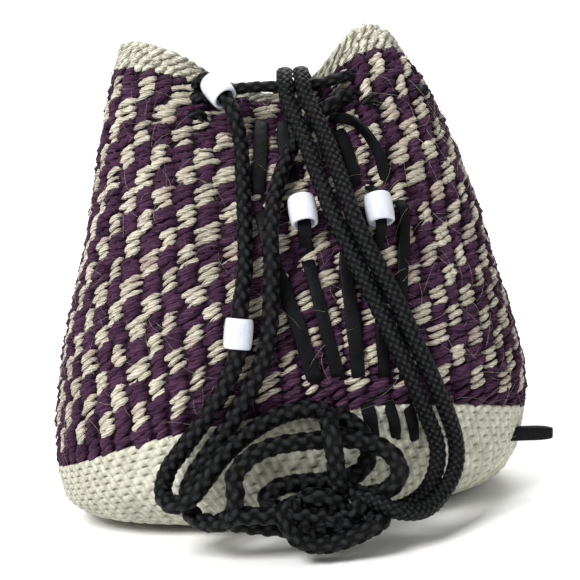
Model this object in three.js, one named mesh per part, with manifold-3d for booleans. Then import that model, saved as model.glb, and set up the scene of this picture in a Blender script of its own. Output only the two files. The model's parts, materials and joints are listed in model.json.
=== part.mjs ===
import * as THREE from "three";
import { mergeVertices } from "three/addons/utils/BufferGeometryUtils.js";
import Module from "manifold-3d";

const wasm = await Module();
wasm.setup();

// Sizes in millimetres. The bag stands on Z = 0 with its front towards -Y.
const WALL = 5;
const GAP = 0.3;
const CUT = 0.4;
const BAND_GAP = 0.8;
const COLUMNS = 44;
const BASE_TOP = 34;
const RIM_FOOT = 210;
const RIM_TOP = 224;
const PINCH_WIDTH = 27;
const DIP_LEFT = 50;
const DIP_RIGHT = 29;
const DIP_X = 8.5;
const EAR_LEFT = 1;
const EAR_RIGHT = 9;
const EAR_FROM = 150;
const EAR_RISE = 72;
const EAR_POWER = 8;
const SLOPE_REACH = 111;
const NORMAL_REACH = 0.5;
const NORMAL_TURN = 0.002;
const RING_CORD = 5.4;
const DRAWSTRING = 6.8;
const STRAP = 6.6;
const CORD_STEP = 13;
const CORD_SIDES = 8;
const BEAD_LENGTH = 12.8;
const BEAD_RADIUS = 6.1;
const BEAD_END_RADIUS = 5.2;
const BEAD_BORE_RADIUS = 4.2;
const BEAD_SHOULDER = 2;
const BEAD_BULGE = 0.3;
const BEAD_SIDES = 20;
const LACE_THICKNESS = 1.6;
const LACE_STEP = 6.5;
const UNDER = -2.5;
const OVER = 1.3;
const ON_BEAD = 7.2;
const TAB_HEIGHT = 6.2;
const TAB_LAYER = 1.9;
const TAB_SLOT = 1.2;
const TAB_LENGTH = 27;
const TAB_ROOT = { x: 92, y: -31.5, z: 29 };
const TAB_DROOP = 5;
const TAB_SWING = 8;
const KNOT_TURNS = 3;
const KNOT_GROOVE = 1.6;
const KNOT_SHOULDER = 0.3;
const KNOT_SIDES = 16;
const FOOT_INSET = 2;
const FOOT_MIDDLE = 0.05;
const FOOT_LEVELS = [0, 2, 6, 12, 20, 27];
const BODY_ROWS = 13;
const RIM_MIDDLE = 216;

// One row per section of the outer face, from the foot up. level is the height at the two sides;
// left, right, front and back are the reaches from the middle; square is the roundness of the plan;
// pinch draws the middle in; lift raises the front; the dips lower the middle of the mouth; slope
// raises the right side and lowers the left.
const SECTIONS = [
  { level: 0, left: 70, right: 68, front: 46, back: 50,
    square: 2.2, pinch: 0, lift: 0, dipFront: 0, dipBack: 0, slope: 0 },
  { level: 4, left: 93, right: 90, front: 60, back: 64,
    square: 2.2, pinch: 0, lift: 3, dipFront: 0, dipBack: 0, slope: 1 },
  { level: 12, left: 107, right: 102, front: 72, back: 75,
    square: 2.2, pinch: 0, lift: 10, dipFront: 0, dipBack: 0, slope: 3 },
  { level: 26, left: 112, right: 108, front: 80, back: 81,
    square: 2.2, pinch: 0, lift: 20, dipFront: 0, dipBack: 0, slope: 5 },
  { level: 46, left: 112, right: 111, front: 83, back: 83,
    square: 2.3, pinch: 0, lift: 23, dipFront: 0, dipBack: 0, slope: 5 },
  { level: 72, left: 108, right: 108, front: 81, back: 80,
    square: 2.3, pinch: 0, lift: 19, dipFront: 0, dipBack: 0, slope: 4 },
  { level: 102, left: 100, right: 101, front: 74, back: 72,
    square: 2.3, pinch: 0, lift: 12, dipFront: 0, dipBack: 0, slope: 3 },
  { level: 132, left: 90, right: 95, front: 64, back: 61,
    square: 2.2, pinch: 0.02, lift: 6, dipFront: 1, dipBack: 2, slope: 2 },
  { level: 160, left: 83, right: 87, front: 52, back: 49,
    square: 2.1, pinch: 0.1, lift: 2, dipFront: 5, dipBack: 8, slope: 1 },
  { level: 184, left: 77, right: 79, front: 41, back: 37,
    square: 2, pinch: 0.3, lift: 0, dipFront: 12, dipBack: 16, slope: 0 },
  { level: 199, left: 73, right: 72.5, front: 33, back: 30,
    square: 2, pinch: 0.46, lift: 0, dipFront: 17, dipBack: 22, slope: 0 },
  { level: 211, left: 69, right: 66, front: 29, back: 27,
    square: 2, pinch: 0.5, lift: 0, dipFront: 22, dipBack: 27, slope: 0 },
  { level: 224, left: 65, right: 60, front: 28, back: 26,
    square: 2, pinch: 0.5, lift: 0, dipFront: 32, dipBack: 36, slope: 0 },
];

const COLOURS = {
  cream: { color: 0xcdbf96, roughness: 0.9, metalness: 0 },
  purple: { color: 0x4a2a4c, roughness: 0.95, metalness: 0 },
  cord: { color: 0x141617, roughness: 0.7, metalness: 0 },
  bead: { color: 0xf2f2f5, roughness: 0.25, metalness: 0 },
  leather: { color: 0x242426, roughness: 0.5, metalness: 0 },
};

// Smooth value of one column at a level, a cubic between neighbouring rows.
function column(name, level) {
  const last = SECTIONS.length - 2;
  let i = 0;
  while (i < last && level >= SECTIONS[i + 1].level) i += 1;
  const run = (k) => SECTIONS[k + 1].level - SECTIONS[k].level;
  const rise = (k) => (SECTIONS[k + 1][name] - SECTIONS[k][name]) / run(k);
  const tangent = (k) => {
    if (k === 0) return rise(0);
    if (k === last + 1) return rise(last);
    return (rise(k - 1) + rise(k)) / 2;
  };
  const h = run(i);
  const t = (level - SECTIONS[i].level) / h;
  const a = 2 * t ** 3 - 3 * t ** 2 + 1;
  const b = t ** 3 - 2 * t ** 2 + t;
  const c = t ** 3 - t ** 2;
  const ends = a * SECTIONS[i][name] + (1 - a) * SECTIONS[i + 1][name];
  return ends + b * h * tangent(i) + c * h * tangent(i + 1);
}

// Point of the outer face: angle 0 is the right side, -90 degrees the front.
function wallPoint(level, angle) {
  const c = Math.cos(angle);
  const s = Math.sin(angle);
  const reachX = column(c < 0 ? "left" : "right", level);
  const reachY = column(s < 0 ? "front" : "back", level);
  const power = 2 / column("square", level);
  const x = reachX * Math.sign(c) * Math.abs(c) ** power;
  const waist = 1 - column("pinch", level) * Math.exp(-((x / PINCH_WIDTH) ** 2));
  const y = reachY * Math.sign(s) * Math.abs(s) ** power * waist;
  const middle = Math.exp(-(((x - DIP_X) / (x < DIP_X ? DIP_LEFT : DIP_RIGHT)) ** 2));
  const dipBack = column("dipBack", level);
  const dip = dipBack + ((column("dipFront", level) - dipBack) * (1 - s)) / 2;
  const upper = Math.min(1, Math.max(0, (level - EAR_FROM) / EAR_RISE)) ** 2;
  const droop = (c < 0 ? EAR_LEFT : EAR_RIGHT) * upper * Math.abs(x / reachX) ** EAR_POWER;
  const lift = column("lift", level) * Math.max(0, -s) ** 2;
  const z = level + lift + (column("slope", level) * x) / SLOPE_REACH - dip * middle - droop;
  return new THREE.Vector3(x, y, z);
}

function wallNormal(level, angle) {
  const low = Math.max(0, level - NORMAL_REACH);
  const high = Math.min(RIM_TOP, level + NORMAL_REACH);
  const around = wallPoint(level, angle + NORMAL_TURN).sub(wallPoint(level, angle - NORMAL_TURN));
  const up = wallPoint(high, angle).sub(wallPoint(low, angle));
  return around.cross(up).normalize();
}

// Angle on the front half where the outer face has a given x.
function frontAngle(level, x) {
  const reach = column(x < 0 ? "left" : "right", level);
  const share = Math.min(0.9999, Math.abs(x) / reach) ** (column("square", level) / 2);
  return -Math.acos(Math.sign(x) * share);
}

function outFrom(level, angle, distance) {
  return wallPoint(level, angle).addScaledVector(wallNormal(level, angle), distance);
}

function solidOf(geometry) {
  const bare = new THREE.BufferGeometry();
  bare.setAttribute("position", geometry.getAttribute("position"));
  if (geometry.index) bare.setIndex(geometry.index);
  const joined = mergeVertices(bare, 1e-4);
  const vertProperties = new Float32Array(joined.getAttribute("position").array);
  const triVerts = new Uint32Array(joined.index.array);
  return new wasm.Manifold(new wasm.Mesh({ numProp: 3, vertProperties, triVerts }));
}

function geometryOf(solid) {
  const mesh = solid.getMesh();
  const geometry = new THREE.BufferGeometry();
  geometry.setAttribute("position", new THREE.BufferAttribute(new Float32Array(mesh.vertProperties), 3));
  geometry.setIndex(new THREE.BufferAttribute(new Uint32Array(mesh.triVerts), 1));
  return geometry;
}

// Closed solid from rings of equal count: each ring joins the next, and caps fill the ends.
function ringsSolid(rings, closed) {
  const count = rings[0].length;
  const position = rings.flat().flatMap((p) => [p.x, p.y, p.z]);
  const index = [];
  const turns = closed ? rings.length : rings.length - 1;
  for (let r = 0; r < turns; r += 1) {
    const next = (r + 1) % rings.length;
    for (let i = 0; i < count; i += 1) {
      const j = (i + 1) % count;
      index.push(r * count + i, r * count + j, next * count + j);
      index.push(r * count + i, next * count + j, next * count + i);
    }
  }
  if (!closed) {
    for (let i = 1; i < count - 1; i += 1) {
      const top = (rings.length - 1) * count;
      index.push(0, i + 1, i);
      index.push(top, top + i, top + i + 1);
    }
  }
  const geometry = new THREE.BufferGeometry();
  geometry.setAttribute("position", new THREE.Float32BufferAttribute(position, 3));
  geometry.setIndex(index);
  return geometry;
}

function ringAt(level, inward) {
  const ring = [];
  for (let i = 0; i < COLUMNS; i += 1) {
    ring.push(outFrom(level, (i / COLUMNS) * 2 * Math.PI, -inward));
  }
  return ring;
}

// Hollow band of the wall between two levels, outer face up and inner face down.
function bandSolid(levels) {
  const outer = levels.map((level) => ringAt(level, 0));
  const inner = levels.map((level) => ringAt(level, WALL)).reverse();
  return ringsSolid([...outer, ...inner], true);
}

// Bowl-shaped foot: flat underside, rounded edge, and an inner floor one wall higher.
function footSolid(levels) {
  const disc = (level, inset, share, z) => {
    const edge = ringAt(level, 0);
    return edge.map((p) => {
      const reach = Math.hypot(p.x, p.y);
      const scale = (share * (reach - inset)) / reach;
      return new THREE.Vector3(p.x * scale, p.y * scale, z);
    });
  };
  const outer = levels.map((level) => ringAt(level, 0));
  const inner = levels.slice(1).map((level) => ringAt(level, WALL)).reverse();
  const floor = [disc(0, FOOT_INSET, 1, WALL), disc(0, FOOT_INSET, FOOT_MIDDLE, WALL)];
  return ringsSolid([disc(0, 0, FOOT_MIDDLE, 0), ...outer, ...inner, ...floor], false);
}

// Round cord along a smooth curve through its route points.
function cordGeometry(route, diameter) {
  const curve = new THREE.CatmullRomCurve3(route, false, "catmullrom", 0.5);
  const steps = Math.max(6, Math.round(curve.getLength() / CORD_STEP));
  const section = new THREE.Shape();
  for (let i = 0; i < CORD_SIDES; i += 1) {
    const a = (i / CORD_SIDES) * 2 * Math.PI;
    const x = (diameter / 2) * Math.cos(a);
    const y = (diameter / 2) * Math.sin(a);
    if (i === 0) section.moveTo(x, y);
    else section.lineTo(x, y);
  }
  section.closePath();
  const sweep = { steps, extrudePath: curve, bevelEnabled: false, curveSegments: 1 };
  return new THREE.ExtrudeGeometry(section, sweep);
}

function barrelBead(centre, axis) {
  const half = BEAD_LENGTH / 2;
  const profile = [
    [BEAD_BORE_RADIUS, -half],
    [BEAD_END_RADIUS, -half],
    [BEAD_RADIUS - BEAD_BULGE, -half + BEAD_SHOULDER],
    [BEAD_RADIUS, 0],
    [BEAD_RADIUS - BEAD_BULGE, half - BEAD_SHOULDER],
    [BEAD_END_RADIUS, half],
    [BEAD_BORE_RADIUS, half],
    [BEAD_BORE_RADIUS, -half],
  ].map(([r, y]) => new THREE.Vector2(r, y));
  const geometry = new THREE.LatheGeometry(profile, BEAD_SIDES);
  const upright = new THREE.Vector3(0, 1, 0);
  const turn = new THREE.Quaternion().setFromUnitVectors(upright, axis.clone().normalize());
  geometry.applyQuaternion(turn);
  geometry.translate(centre.x, centre.y, centre.z);
  return geometry;
}

// Flat lace that follows the front wall. Each row gives a level, an x, the height of the lace's middle
// above the outer face (negative where it runs under the twining) and a twist in degrees.
function laceFrames(rows) {
  const spine = rows.map((row) => outFrom(row.level, frontAngle(row.level, row.x), row.ride));
  const curve = new THREE.CatmullRomCurve3(spine, false, "catmullrom", 0.5);
  const steps = Math.round(curve.getLength() / LACE_STEP);
  const frames = [];
  for (let i = 0; i <= steps; i += 1) {
    const share = curve.getUtoTmapping(i / steps);
    const at = share * (rows.length - 1);
    const k = Math.min(rows.length - 2, Math.floor(at));
    const mix = at - k;
    const level = rows[k].level * (1 - mix) + rows[k + 1].level * mix;
    const x = rows[k].x * (1 - mix) + rows[k + 1].x * mix;
    const twist = (rows[k].twist ?? 0) * (1 - mix) + (rows[k + 1].twist ?? 0) * mix;
    const along = curve.getTangent(share);
    const out = wallNormal(level, frontAngle(level, x));
    const across = along.clone().cross(out).normalize();
    across.applyAxisAngle(along, THREE.MathUtils.degToRad(twist));
    const face = across.clone().cross(along).normalize();
    frames.push({ at: curve.getPoint(share), along, across, face });
  }
  return frames;
}

function laceGeometry(rows, width, grow) {
  const frames = laceFrames(rows);
  const w = width / 2 + grow;
  const h = LACE_THICKNESS / 2 + grow;
  const corners = [[-w, -h], [-w, h], [w, h], [w, -h]];
  const rings = frames.map((frame, i) => {
    const end = i === 0 ? -grow : i === frames.length - 1 ? grow : 0;
    return corners.map(([a, b]) =>
      frame.at.clone()
        .addScaledVector(frame.along, end)
        .addScaledVector(frame.across, a)
        .addScaledVector(frame.face, b));
  });
  return ringsSolid(rings, false);
}

const v = (x, y, z) => new THREE.Vector3(x, y, z);

const BEAD_MOUTH = { centre: v(-20, -40, 195), axis: v(0.46, -0.6, -0.66) };
const BEAD_HANGING = { centre: v(-19, -88, 93), axis: v(-0.17, -0.1, -0.98) };
const KNOT = { centre: v(13, -102, 19.5), halfLength: 12, radius: 8.8, lead: 3.8 };

const alongBead = (bead, distance) => {
  const axis = bead.axis.clone().normalize();
  return bead.centre.clone().addScaledVector(axis, distance);
};
const knotEnd = (side, y, z) => v(
  KNOT.centre.x + side * (KNOT.halfLength + GAP),
  KNOT.centre.y + y * KNOT.lead,
  KNOT.centre.z + z * KNOT.lead,
);
const knotLead = (side, y, z, reach) => knotEnd(side, y, z).add(v(side * reach, 0, 0));

// Free ends of the drawstring, the strap, the loop below the knot and the strand above it, as points
// from one end to the other.
const LEFT_ROUTE = [
  alongBead(BEAD_MOUTH, GAP), alongBead(BEAD_MOUTH, 9.2), v(-13.2, -48, 181), v(-12, -48, 169),
  v(-12.5, -56, 154), v(-13, -68, 136), v(-14, -77, 120), alongBead(BEAD_HANGING, -11), BEAD_HANGING.centre,
  alongBead(BEAD_HANGING, 11), v(-29, -88, 68), v(-39, -86, 55), v(-48, -83, 44.5), v(-54, -82.3, 37),
  v(-56.5, -87, 29), v(-52.5, -95.5, 25.5), v(-44.5, -99.2, 28.5), v(-37.5, -98.2, 35.5), v(-30, -95, 43.5),
  v(-19, -90, 51), v(-6, -88, 57), v(8, -88, 59), v(20, -87.5, 54.5), v(28, -86.5, 47.5),
  v(30.5, -86.5, 39.5), v(28, -88, 32.5), v(21, -90.5, 29.5), v(11, -92, 29), v(0, -93, 29.5),
  v(-9, -95, 28.5), v(-13.5, -97, 24.5), v(-9, -98.2, 20.2), knotLead(-1, 1, 0, 4), knotEnd(-1, 1, 0),
];

const RIGHT_ROUTE = [
  v(45, -19, 187), v(39.5, -28, 188), v(33, -35, 187.5), v(27, -38.5, 183.5), v(20, -39.2, 177.5),
  v(13, -43.8, 170.5), v(7, -52, 162), v(1, -63, 148), v(-2, -74, 133), v(-3, -81, 119), v(-4.5, -85, 106),
  v(-6, -87.5, 94), v(-10, -88.5, 81), v(-18, -88.5, 67), v(-27, -87, 54), v(-37, -84, 42),
  v(-44, -83.5, 33), v(-47, -87, 24.5), v(-43, -94, 18.5), v(-34, -100.5, 17.5), v(-27, -104.5, 22),
  v(-25.5, -105.5, 30), v(-25, -103.5, 37.5), v(-18, -101, 44), v(-8, -98.5, 47), v(4, -97, 47.5),
  v(19, -96, 47), v(31, -95.5, 44.5), v(39.5, -97.5, 39), v(42, -100, 32), v(37.5, -100.5, 26),
  knotLead(1, 1, 1, 5), knotEnd(1, 1, 1),
];

const STRAP_ROUTE = [
  knotEnd(1, 1, -1), knotLead(1, 1, -1, 6), v(43, -97.5, 17), v(53, -88, 20), v(59, -80, 28),
  v(60, -78, 38), v(56, -81, 52), v(51, -85, 68), v(45, -85, 84), v(39, -83, 100), v(32, -79, 118),
  v(25.5, -74.5, 135), v(20.5, -64.5, 152), v(16.5, -54.5, 168), v(12.5, -47, 180), v(10, -42, 188.5),
  v(9.8, -38.3, 197), v(9.8, -31, 202.1), v(9.6, -22, 201.1), v(9.2, -13, 198.2), v(8.6, -5, 195.8),
  v(7, -0.5, 192), v(5, 0, 184), v(7.5, 0, 173), v(15.5, 0, 168), v(23.5, 0, 173), v(26, 0, 184),
  v(24, -1, 191.5), v(20, -6.5, 197.5), v(18.2, -14, 200.4), v(17.3, -22, 201.2), v(17, -31, 201.8),
  v(17.2, -38.3, 196), v(18.2, -42, 188.5), v(21.5, -47, 180), v(25.5, -54, 168), v(29.5, -65, 152),
  v(33.5, -75, 135), v(40, -79, 118), v(47.5, -81, 101), v(53.5, -83, 84), v(59.5, -82, 68), v(65, -78, 52),
  v(68.5, -74, 38), v(67.5, -76.5, 27), v(61, -86, 19), v(51, -98, 15), v(39, -107, 18),
  knotLead(1, -1, 1, 4), knotEnd(1, -1, 1),
];

const LOOP_ROUTE = [
  knotEnd(-1, -1, 1), knotLead(-1, -1, 1, 3), v(-5.8, -108.4, 22), v(-4.6, -111.5, 15), v(0.6, -112, 9.8),
  v(8.5, -112, 8), v(17.5, -112, 9.6), v(26, -112, 12.4), v(32, -109.7, 15), knotLead(1, -1, -1, 4.5),
  knotEnd(1, -1, -1),
];

const STRAND_ROUTE = [
  v(16, -102, 28.8), v(16.2, -103.3, 35), v(16, -104.2, 42), v(15.5, -104, 49), v(15, -99.5, 54.2),
  v(14.5, -91.8, 56.2),
];

// The drawstring inside the top of the wall, out at the right, across the front and back in at the left.
const RING_INSIDE = { level: 191, inward: WALL + 4.2, from: 200, to: -22, turn: -12 };

function ringRoute() {
  const route = [
    alongBead(BEAD_MOUTH, -GAP), alongBead(BEAD_MOUTH, -8.4), v(-26.4, -30.6, 201.2), v(-28.8, -26, 199.8),
    v(-31.5, -20.8, 197.4), v(-37, -14.5, 196), v(-47, -11.5, 194),
  ];
  for (let a = RING_INSIDE.from; a >= RING_INSIDE.to; a += RING_INSIDE.turn) {
    route.push(outFrom(RING_INSIDE.level, THREE.MathUtils.degToRad(a), -RING_INSIDE.inward));
  }
  route.push(
    v(45, -15, 196), v(39.5, -24, 197), v(33, -29.5, 195.8), v(24, -30.4, 194.4), v(13, -30, 193.8),
    v(2, -29.8, 195), v(-10, -29.5, 195.3), v(-20, -28.8, 194.6), v(-28, -26.8, 193), v(-36, -21, 190.5),
    v(-42, -13, 188),
  );
  return route;
}

const LACES = [
  {
    name: "lace_1",
    width: 6.5,
    rows: [
      { level: 197, x: -2, ride: UNDER }, { level: 191, x: -3, ride: OVER },
      { level: 170, x: -4, ride: OVER }, { level: 152, x: -6, ride: OVER },
      { level: 145, x: -6, ride: UNDER }, { level: 140, x: -6, ride: UNDER },
      { level: 133, x: -5, ride: OVER }, { level: 109, x: -2, ride: OVER }, { level: 96, x: 1, ride: OVER },
      { level: 73, x: 6, ride: OVER }, { level: 51, x: 10, ride: OVER }, { level: 44, x: 12, ride: UNDER },
      { level: 39, x: 13, ride: UNDER },
    ],
  },
  {
    name: "lace_2",
    width: 5.5,
    rows: [
      { level: 197, x: 7, ride: UNDER }, { level: 191, x: 7, ride: OVER }, { level: 173, x: 7, ride: OVER },
      { level: 157, x: 9, ride: OVER }, { level: 151, x: 10, ride: UNDER },
      { level: 147, x: 10.5, ride: -1.5 }, { level: 143.5, x: 11, ride: 3 },
      { level: 140, x: 11.3, ride: 6.7 }, { level: 136, x: 11.6, ride: ON_BEAD },
      { level: 131, x: 12, ride: ON_BEAD }, { level: 126, x: 12, ride: ON_BEAD },
      { level: 122, x: 12, ride: 6.7 }, { level: 118.5, x: 12, ride: 3 }, { level: 115, x: 12, ride: -1.5 },
      { level: 111, x: 12, ride: UNDER }, { level: 105, x: 12.8, ride: OVER },
      { level: 96, x: 14, ride: OVER }, { level: 73, x: 17, ride: OVER }, { level: 51, x: 20, ride: OVER },
      { level: 44, x: 21, ride: UNDER }, { level: 38, x: 22, ride: UNDER },
      { level: 31, x: 22, ride: OVER }, { level: 27, x: 22, ride: OVER }, { level: 21, x: 23, ride: UNDER },
      { level: 18, x: 23, ride: UNDER },
    ],
  },
  {
    name: "lace_3",
    width: 6,
    rows: [
      { level: 180, x: 30, ride: UNDER }, { level: 174, x: 32, ride: OVER },
      { level: 164, x: 34, ride: OVER }, { level: 150, x: 35.5, ride: OVER },
      { level: 143, x: 35.5, ride: UNDER }, { level: 138, x: 35, ride: UNDER },
      { level: 131, x: 34, ride: OVER }, { level: 117, x: 31, ride: OVER },
      { level: 106, x: 28, ride: OVER }, { level: 83, x: 28.5, ride: OVER },
      { level: 59, x: 29, ride: OVER }, { level: 50, x: 29, ride: OVER }, { level: 43, x: 30, ride: UNDER },
      { level: 38, x: 31, ride: UNDER }, { level: 31, x: 32.5, ride: OVER },
      { level: 26, x: 33, ride: OVER }, { level: 20, x: 34, ride: UNDER },
      { level: 17, x: 34, ride: UNDER },
    ],
  },
  {
    name: "lace_4",
    width: 5,
    rows: [
      { level: 192, x: 26, ride: UNDER }, { level: 186, x: 30, ride: 0.2 },
      { level: 181, x: 34, ride: 3.2, twist: 30 }, { level: 175, x: 38, ride: 6.5, twist: 70 },
      { level: 167, x: 42, ride: 7, twist: 75 }, { level: 157, x: 46, ride: 5.5, twist: 45 },
      { level: 150, x: 48.5, ride: 1.8, twist: 10 }, { level: 144, x: 51, ride: UNDER },
      { level: 138, x: 53.5, ride: UNDER }, { level: 131, x: 55.5, ride: OVER },
      { level: 115, x: 54, ride: OVER }, { level: 92, x: 51, ride: OVER }, { level: 63, x: 49, ride: OVER },
      { level: 49, x: 49, ride: OVER }, { level: 42, x: 49, ride: UNDER },
      { level: 37, x: 49.5, ride: UNDER }, { level: 30, x: 50, ride: OVER },
      { level: 25, x: 51, ride: OVER }, { level: 19, x: 52, ride: UNDER },
      { level: 16, x: 52, ride: UNDER },
    ],
  },
  {
    name: "lace_5",
    width: 5,
    rows: [
      { level: 148, x: 42, ride: UNDER }, { level: 145, x: 42.2, ride: -1.5 },
      { level: 141.5, x: 42.3, ride: 3 }, { level: 138, x: 42.4, ride: 6.7 },
      { level: 134, x: 42.6, ride: ON_BEAD }, { level: 129, x: 42.8, ride: ON_BEAD },
      { level: 124, x: 43, ride: ON_BEAD }, { level: 120, x: 43, ride: 6.7 },
      { level: 116.5, x: 43, ride: 3 }, { level: 113, x: 43, ride: -1.5 },
      { level: 109, x: 43, ride: UNDER }, { level: 103, x: 42.5, ride: OVER },
      { level: 90, x: 41, ride: OVER }, { level: 64, x: 40, ride: OVER }, { level: 50, x: 40, ride: OVER },
      { level: 43, x: 40, ride: UNDER }, { level: 38, x: 40.5, ride: UNDER },
      { level: 31, x: 42, ride: OVER }, { level: 26, x: 43, ride: OVER }, { level: 20, x: 44, ride: UNDER },
      { level: 17, x: 44, ride: UNDER },
    ],
  },
];

const LACE_BEADS = [
  { name: "bead_lace_left", lace: 1, row: 9 },
  { name: "bead_lace_right", lace: 4, row: 5 },
];

function laceBead({ lace, row }) {
  const rows = LACES[lace].rows;
  const at = (k) => outFrom(rows[k].level, frontAngle(rows[k].level, rows[k].x), rows[k].ride);
  return barrelBead(at(row), at(row + 1).sub(at(row - 1)));
}

// Folded leather loop: two layers side by side, joined by a round fold at the outer end.
function tabGeometry(grow) {
  const outer = TAB_LAYER + TAB_SLOT / 2 + grow;
  const inner = TAB_SLOT / 2;
  const straight = TAB_LENGTH - outer;
  const outline = new THREE.Shape();
  outline.moveTo(-grow, -outer);
  outline.lineTo(straight, -outer);
  outline.absarc(straight, 0, outer, -Math.PI / 2, Math.PI / 2, false);
  outline.lineTo(-grow, outer);
  if (grow === 0) {
    outline.lineTo(0, inner);
    outline.lineTo(straight, inner);
    outline.absarc(straight, 0, inner, Math.PI / 2, -Math.PI / 2, true);
    outline.lineTo(0, -inner);
  }
  outline.closePath();
  const depth = TAB_HEIGHT + 2 * grow;
  const geometry = new THREE.ExtrudeGeometry(outline, { depth, bevelEnabled: false, curveSegments: 5 });
  geometry.translate(0, 0, -depth / 2);
  geometry.rotateY(THREE.MathUtils.degToRad(TAB_DROOP));
  geometry.rotateZ(THREE.MathUtils.degToRad(TAB_SWING));
  geometry.translate(TAB_ROOT.x, TAB_ROOT.y, TAB_ROOT.z);
  return geometry;
}

function knotGeometry() {
  const r = KNOT.radius;
  const h = KNOT.halfLength;
  const turn = (2 * h) / KNOT_TURNS;
  const profile = [[0, -h]];
  for (let k = 0; k < KNOT_TURNS; k += 1) {
    const low = -h + k * turn;
    profile.push([r - KNOT_GROOVE, low], [r - KNOT_SHOULDER, low + turn / 4]);
    profile.push([r, low + turn / 2], [r - KNOT_SHOULDER, low + (3 * turn) / 4]);
  }
  profile.push([r - KNOT_GROOVE, h], [0, h]);
  const geometry = new THREE.LatheGeometry(profile.map(([x, y]) => new THREE.Vector2(x, y)), KNOT_SIDES);
  geometry.rotateZ(-Math.PI / 2);
  geometry.translate(KNOT.centre.x, KNOT.centre.y, KNOT.centre.z);
  return geometry;
}

const cutters = [
  cordGeometry(ringRoute(), RING_CORD + 2 * CUT),
  cordGeometry(RIGHT_ROUTE, DRAWSTRING + 2 * CUT),
  ...LACES.map((lace) => laceGeometry(lace.rows, lace.width, CUT)),
  tabGeometry(CUT),
].map(solidOf);

function pierced(geometry) {
  return geometryOf(cutters.reduce((solid, cutter) => solid.subtract(cutter), solidOf(geometry)));
}

const bodyLevels = [];
for (let i = 0; i <= BODY_ROWS; i += 1) {
  const low = BASE_TOP + BAND_GAP / 2;
  const high = RIM_FOOT - BAND_GAP / 2;
  bodyLevels.push(low + ((high - low) * i) / BODY_ROWS);
}

const bag = new THREE.Group();
bag.name = "drawstring_handbag";

function addPiece(name, geometry, look) {
  const mesh = new THREE.Mesh(geometry, new THREE.MeshStandardMaterial(COLOURS[look]));
  mesh.name = name;
  bag.add(mesh);
}

addPiece("woven_base", pierced(footSolid([...FOOT_LEVELS, BASE_TOP - BAND_GAP / 2])), "cream");
addPiece("woven_body", pierced(bandSolid(bodyLevels)), "purple");
addPiece("woven_rim", pierced(bandSolid([RIM_FOOT + BAND_GAP / 2, RIM_MIDDLE, RIM_TOP])), "cream");
addPiece("drawstring_ring", cordGeometry(ringRoute(), RING_CORD), "cord");
addPiece("drawstring_left", cordGeometry(LEFT_ROUTE, DRAWSTRING), "cord");
addPiece("drawstring_right", cordGeometry(RIGHT_ROUTE, DRAWSTRING), "cord");
addPiece("strap_cord", cordGeometry(STRAP_ROUTE, STRAP), "cord");
addPiece("end_knot", knotGeometry(), "cord");
addPiece("knot_loop", cordGeometry(LOOP_ROUTE, DRAWSTRING), "cord");
addPiece("knot_strand", cordGeometry(STRAND_ROUTE, DRAWSTRING), "cord");
addPiece("bead_mouth", barrelBead(BEAD_MOUTH.centre, BEAD_MOUTH.axis), "bead");
addPiece("bead_hanging", barrelBead(BEAD_HANGING.centre, BEAD_HANGING.axis), "bead");
LACE_BEADS.forEach((bead) => addPiece(bead.name, laceBead(bead), "bead"));
LACES.forEach((lace) => addPiece(lace.name, laceGeometry(lace.rows, lace.width, 0), "leather"));
addPiece("side_tab", tabGeometry(0), "leather");

export default bag;
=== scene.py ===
"""Drawstring bag of hand-twined sisal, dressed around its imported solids.

The tables below are in millimetres, as the solids are; the finished meshes are in metres.
"""

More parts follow.
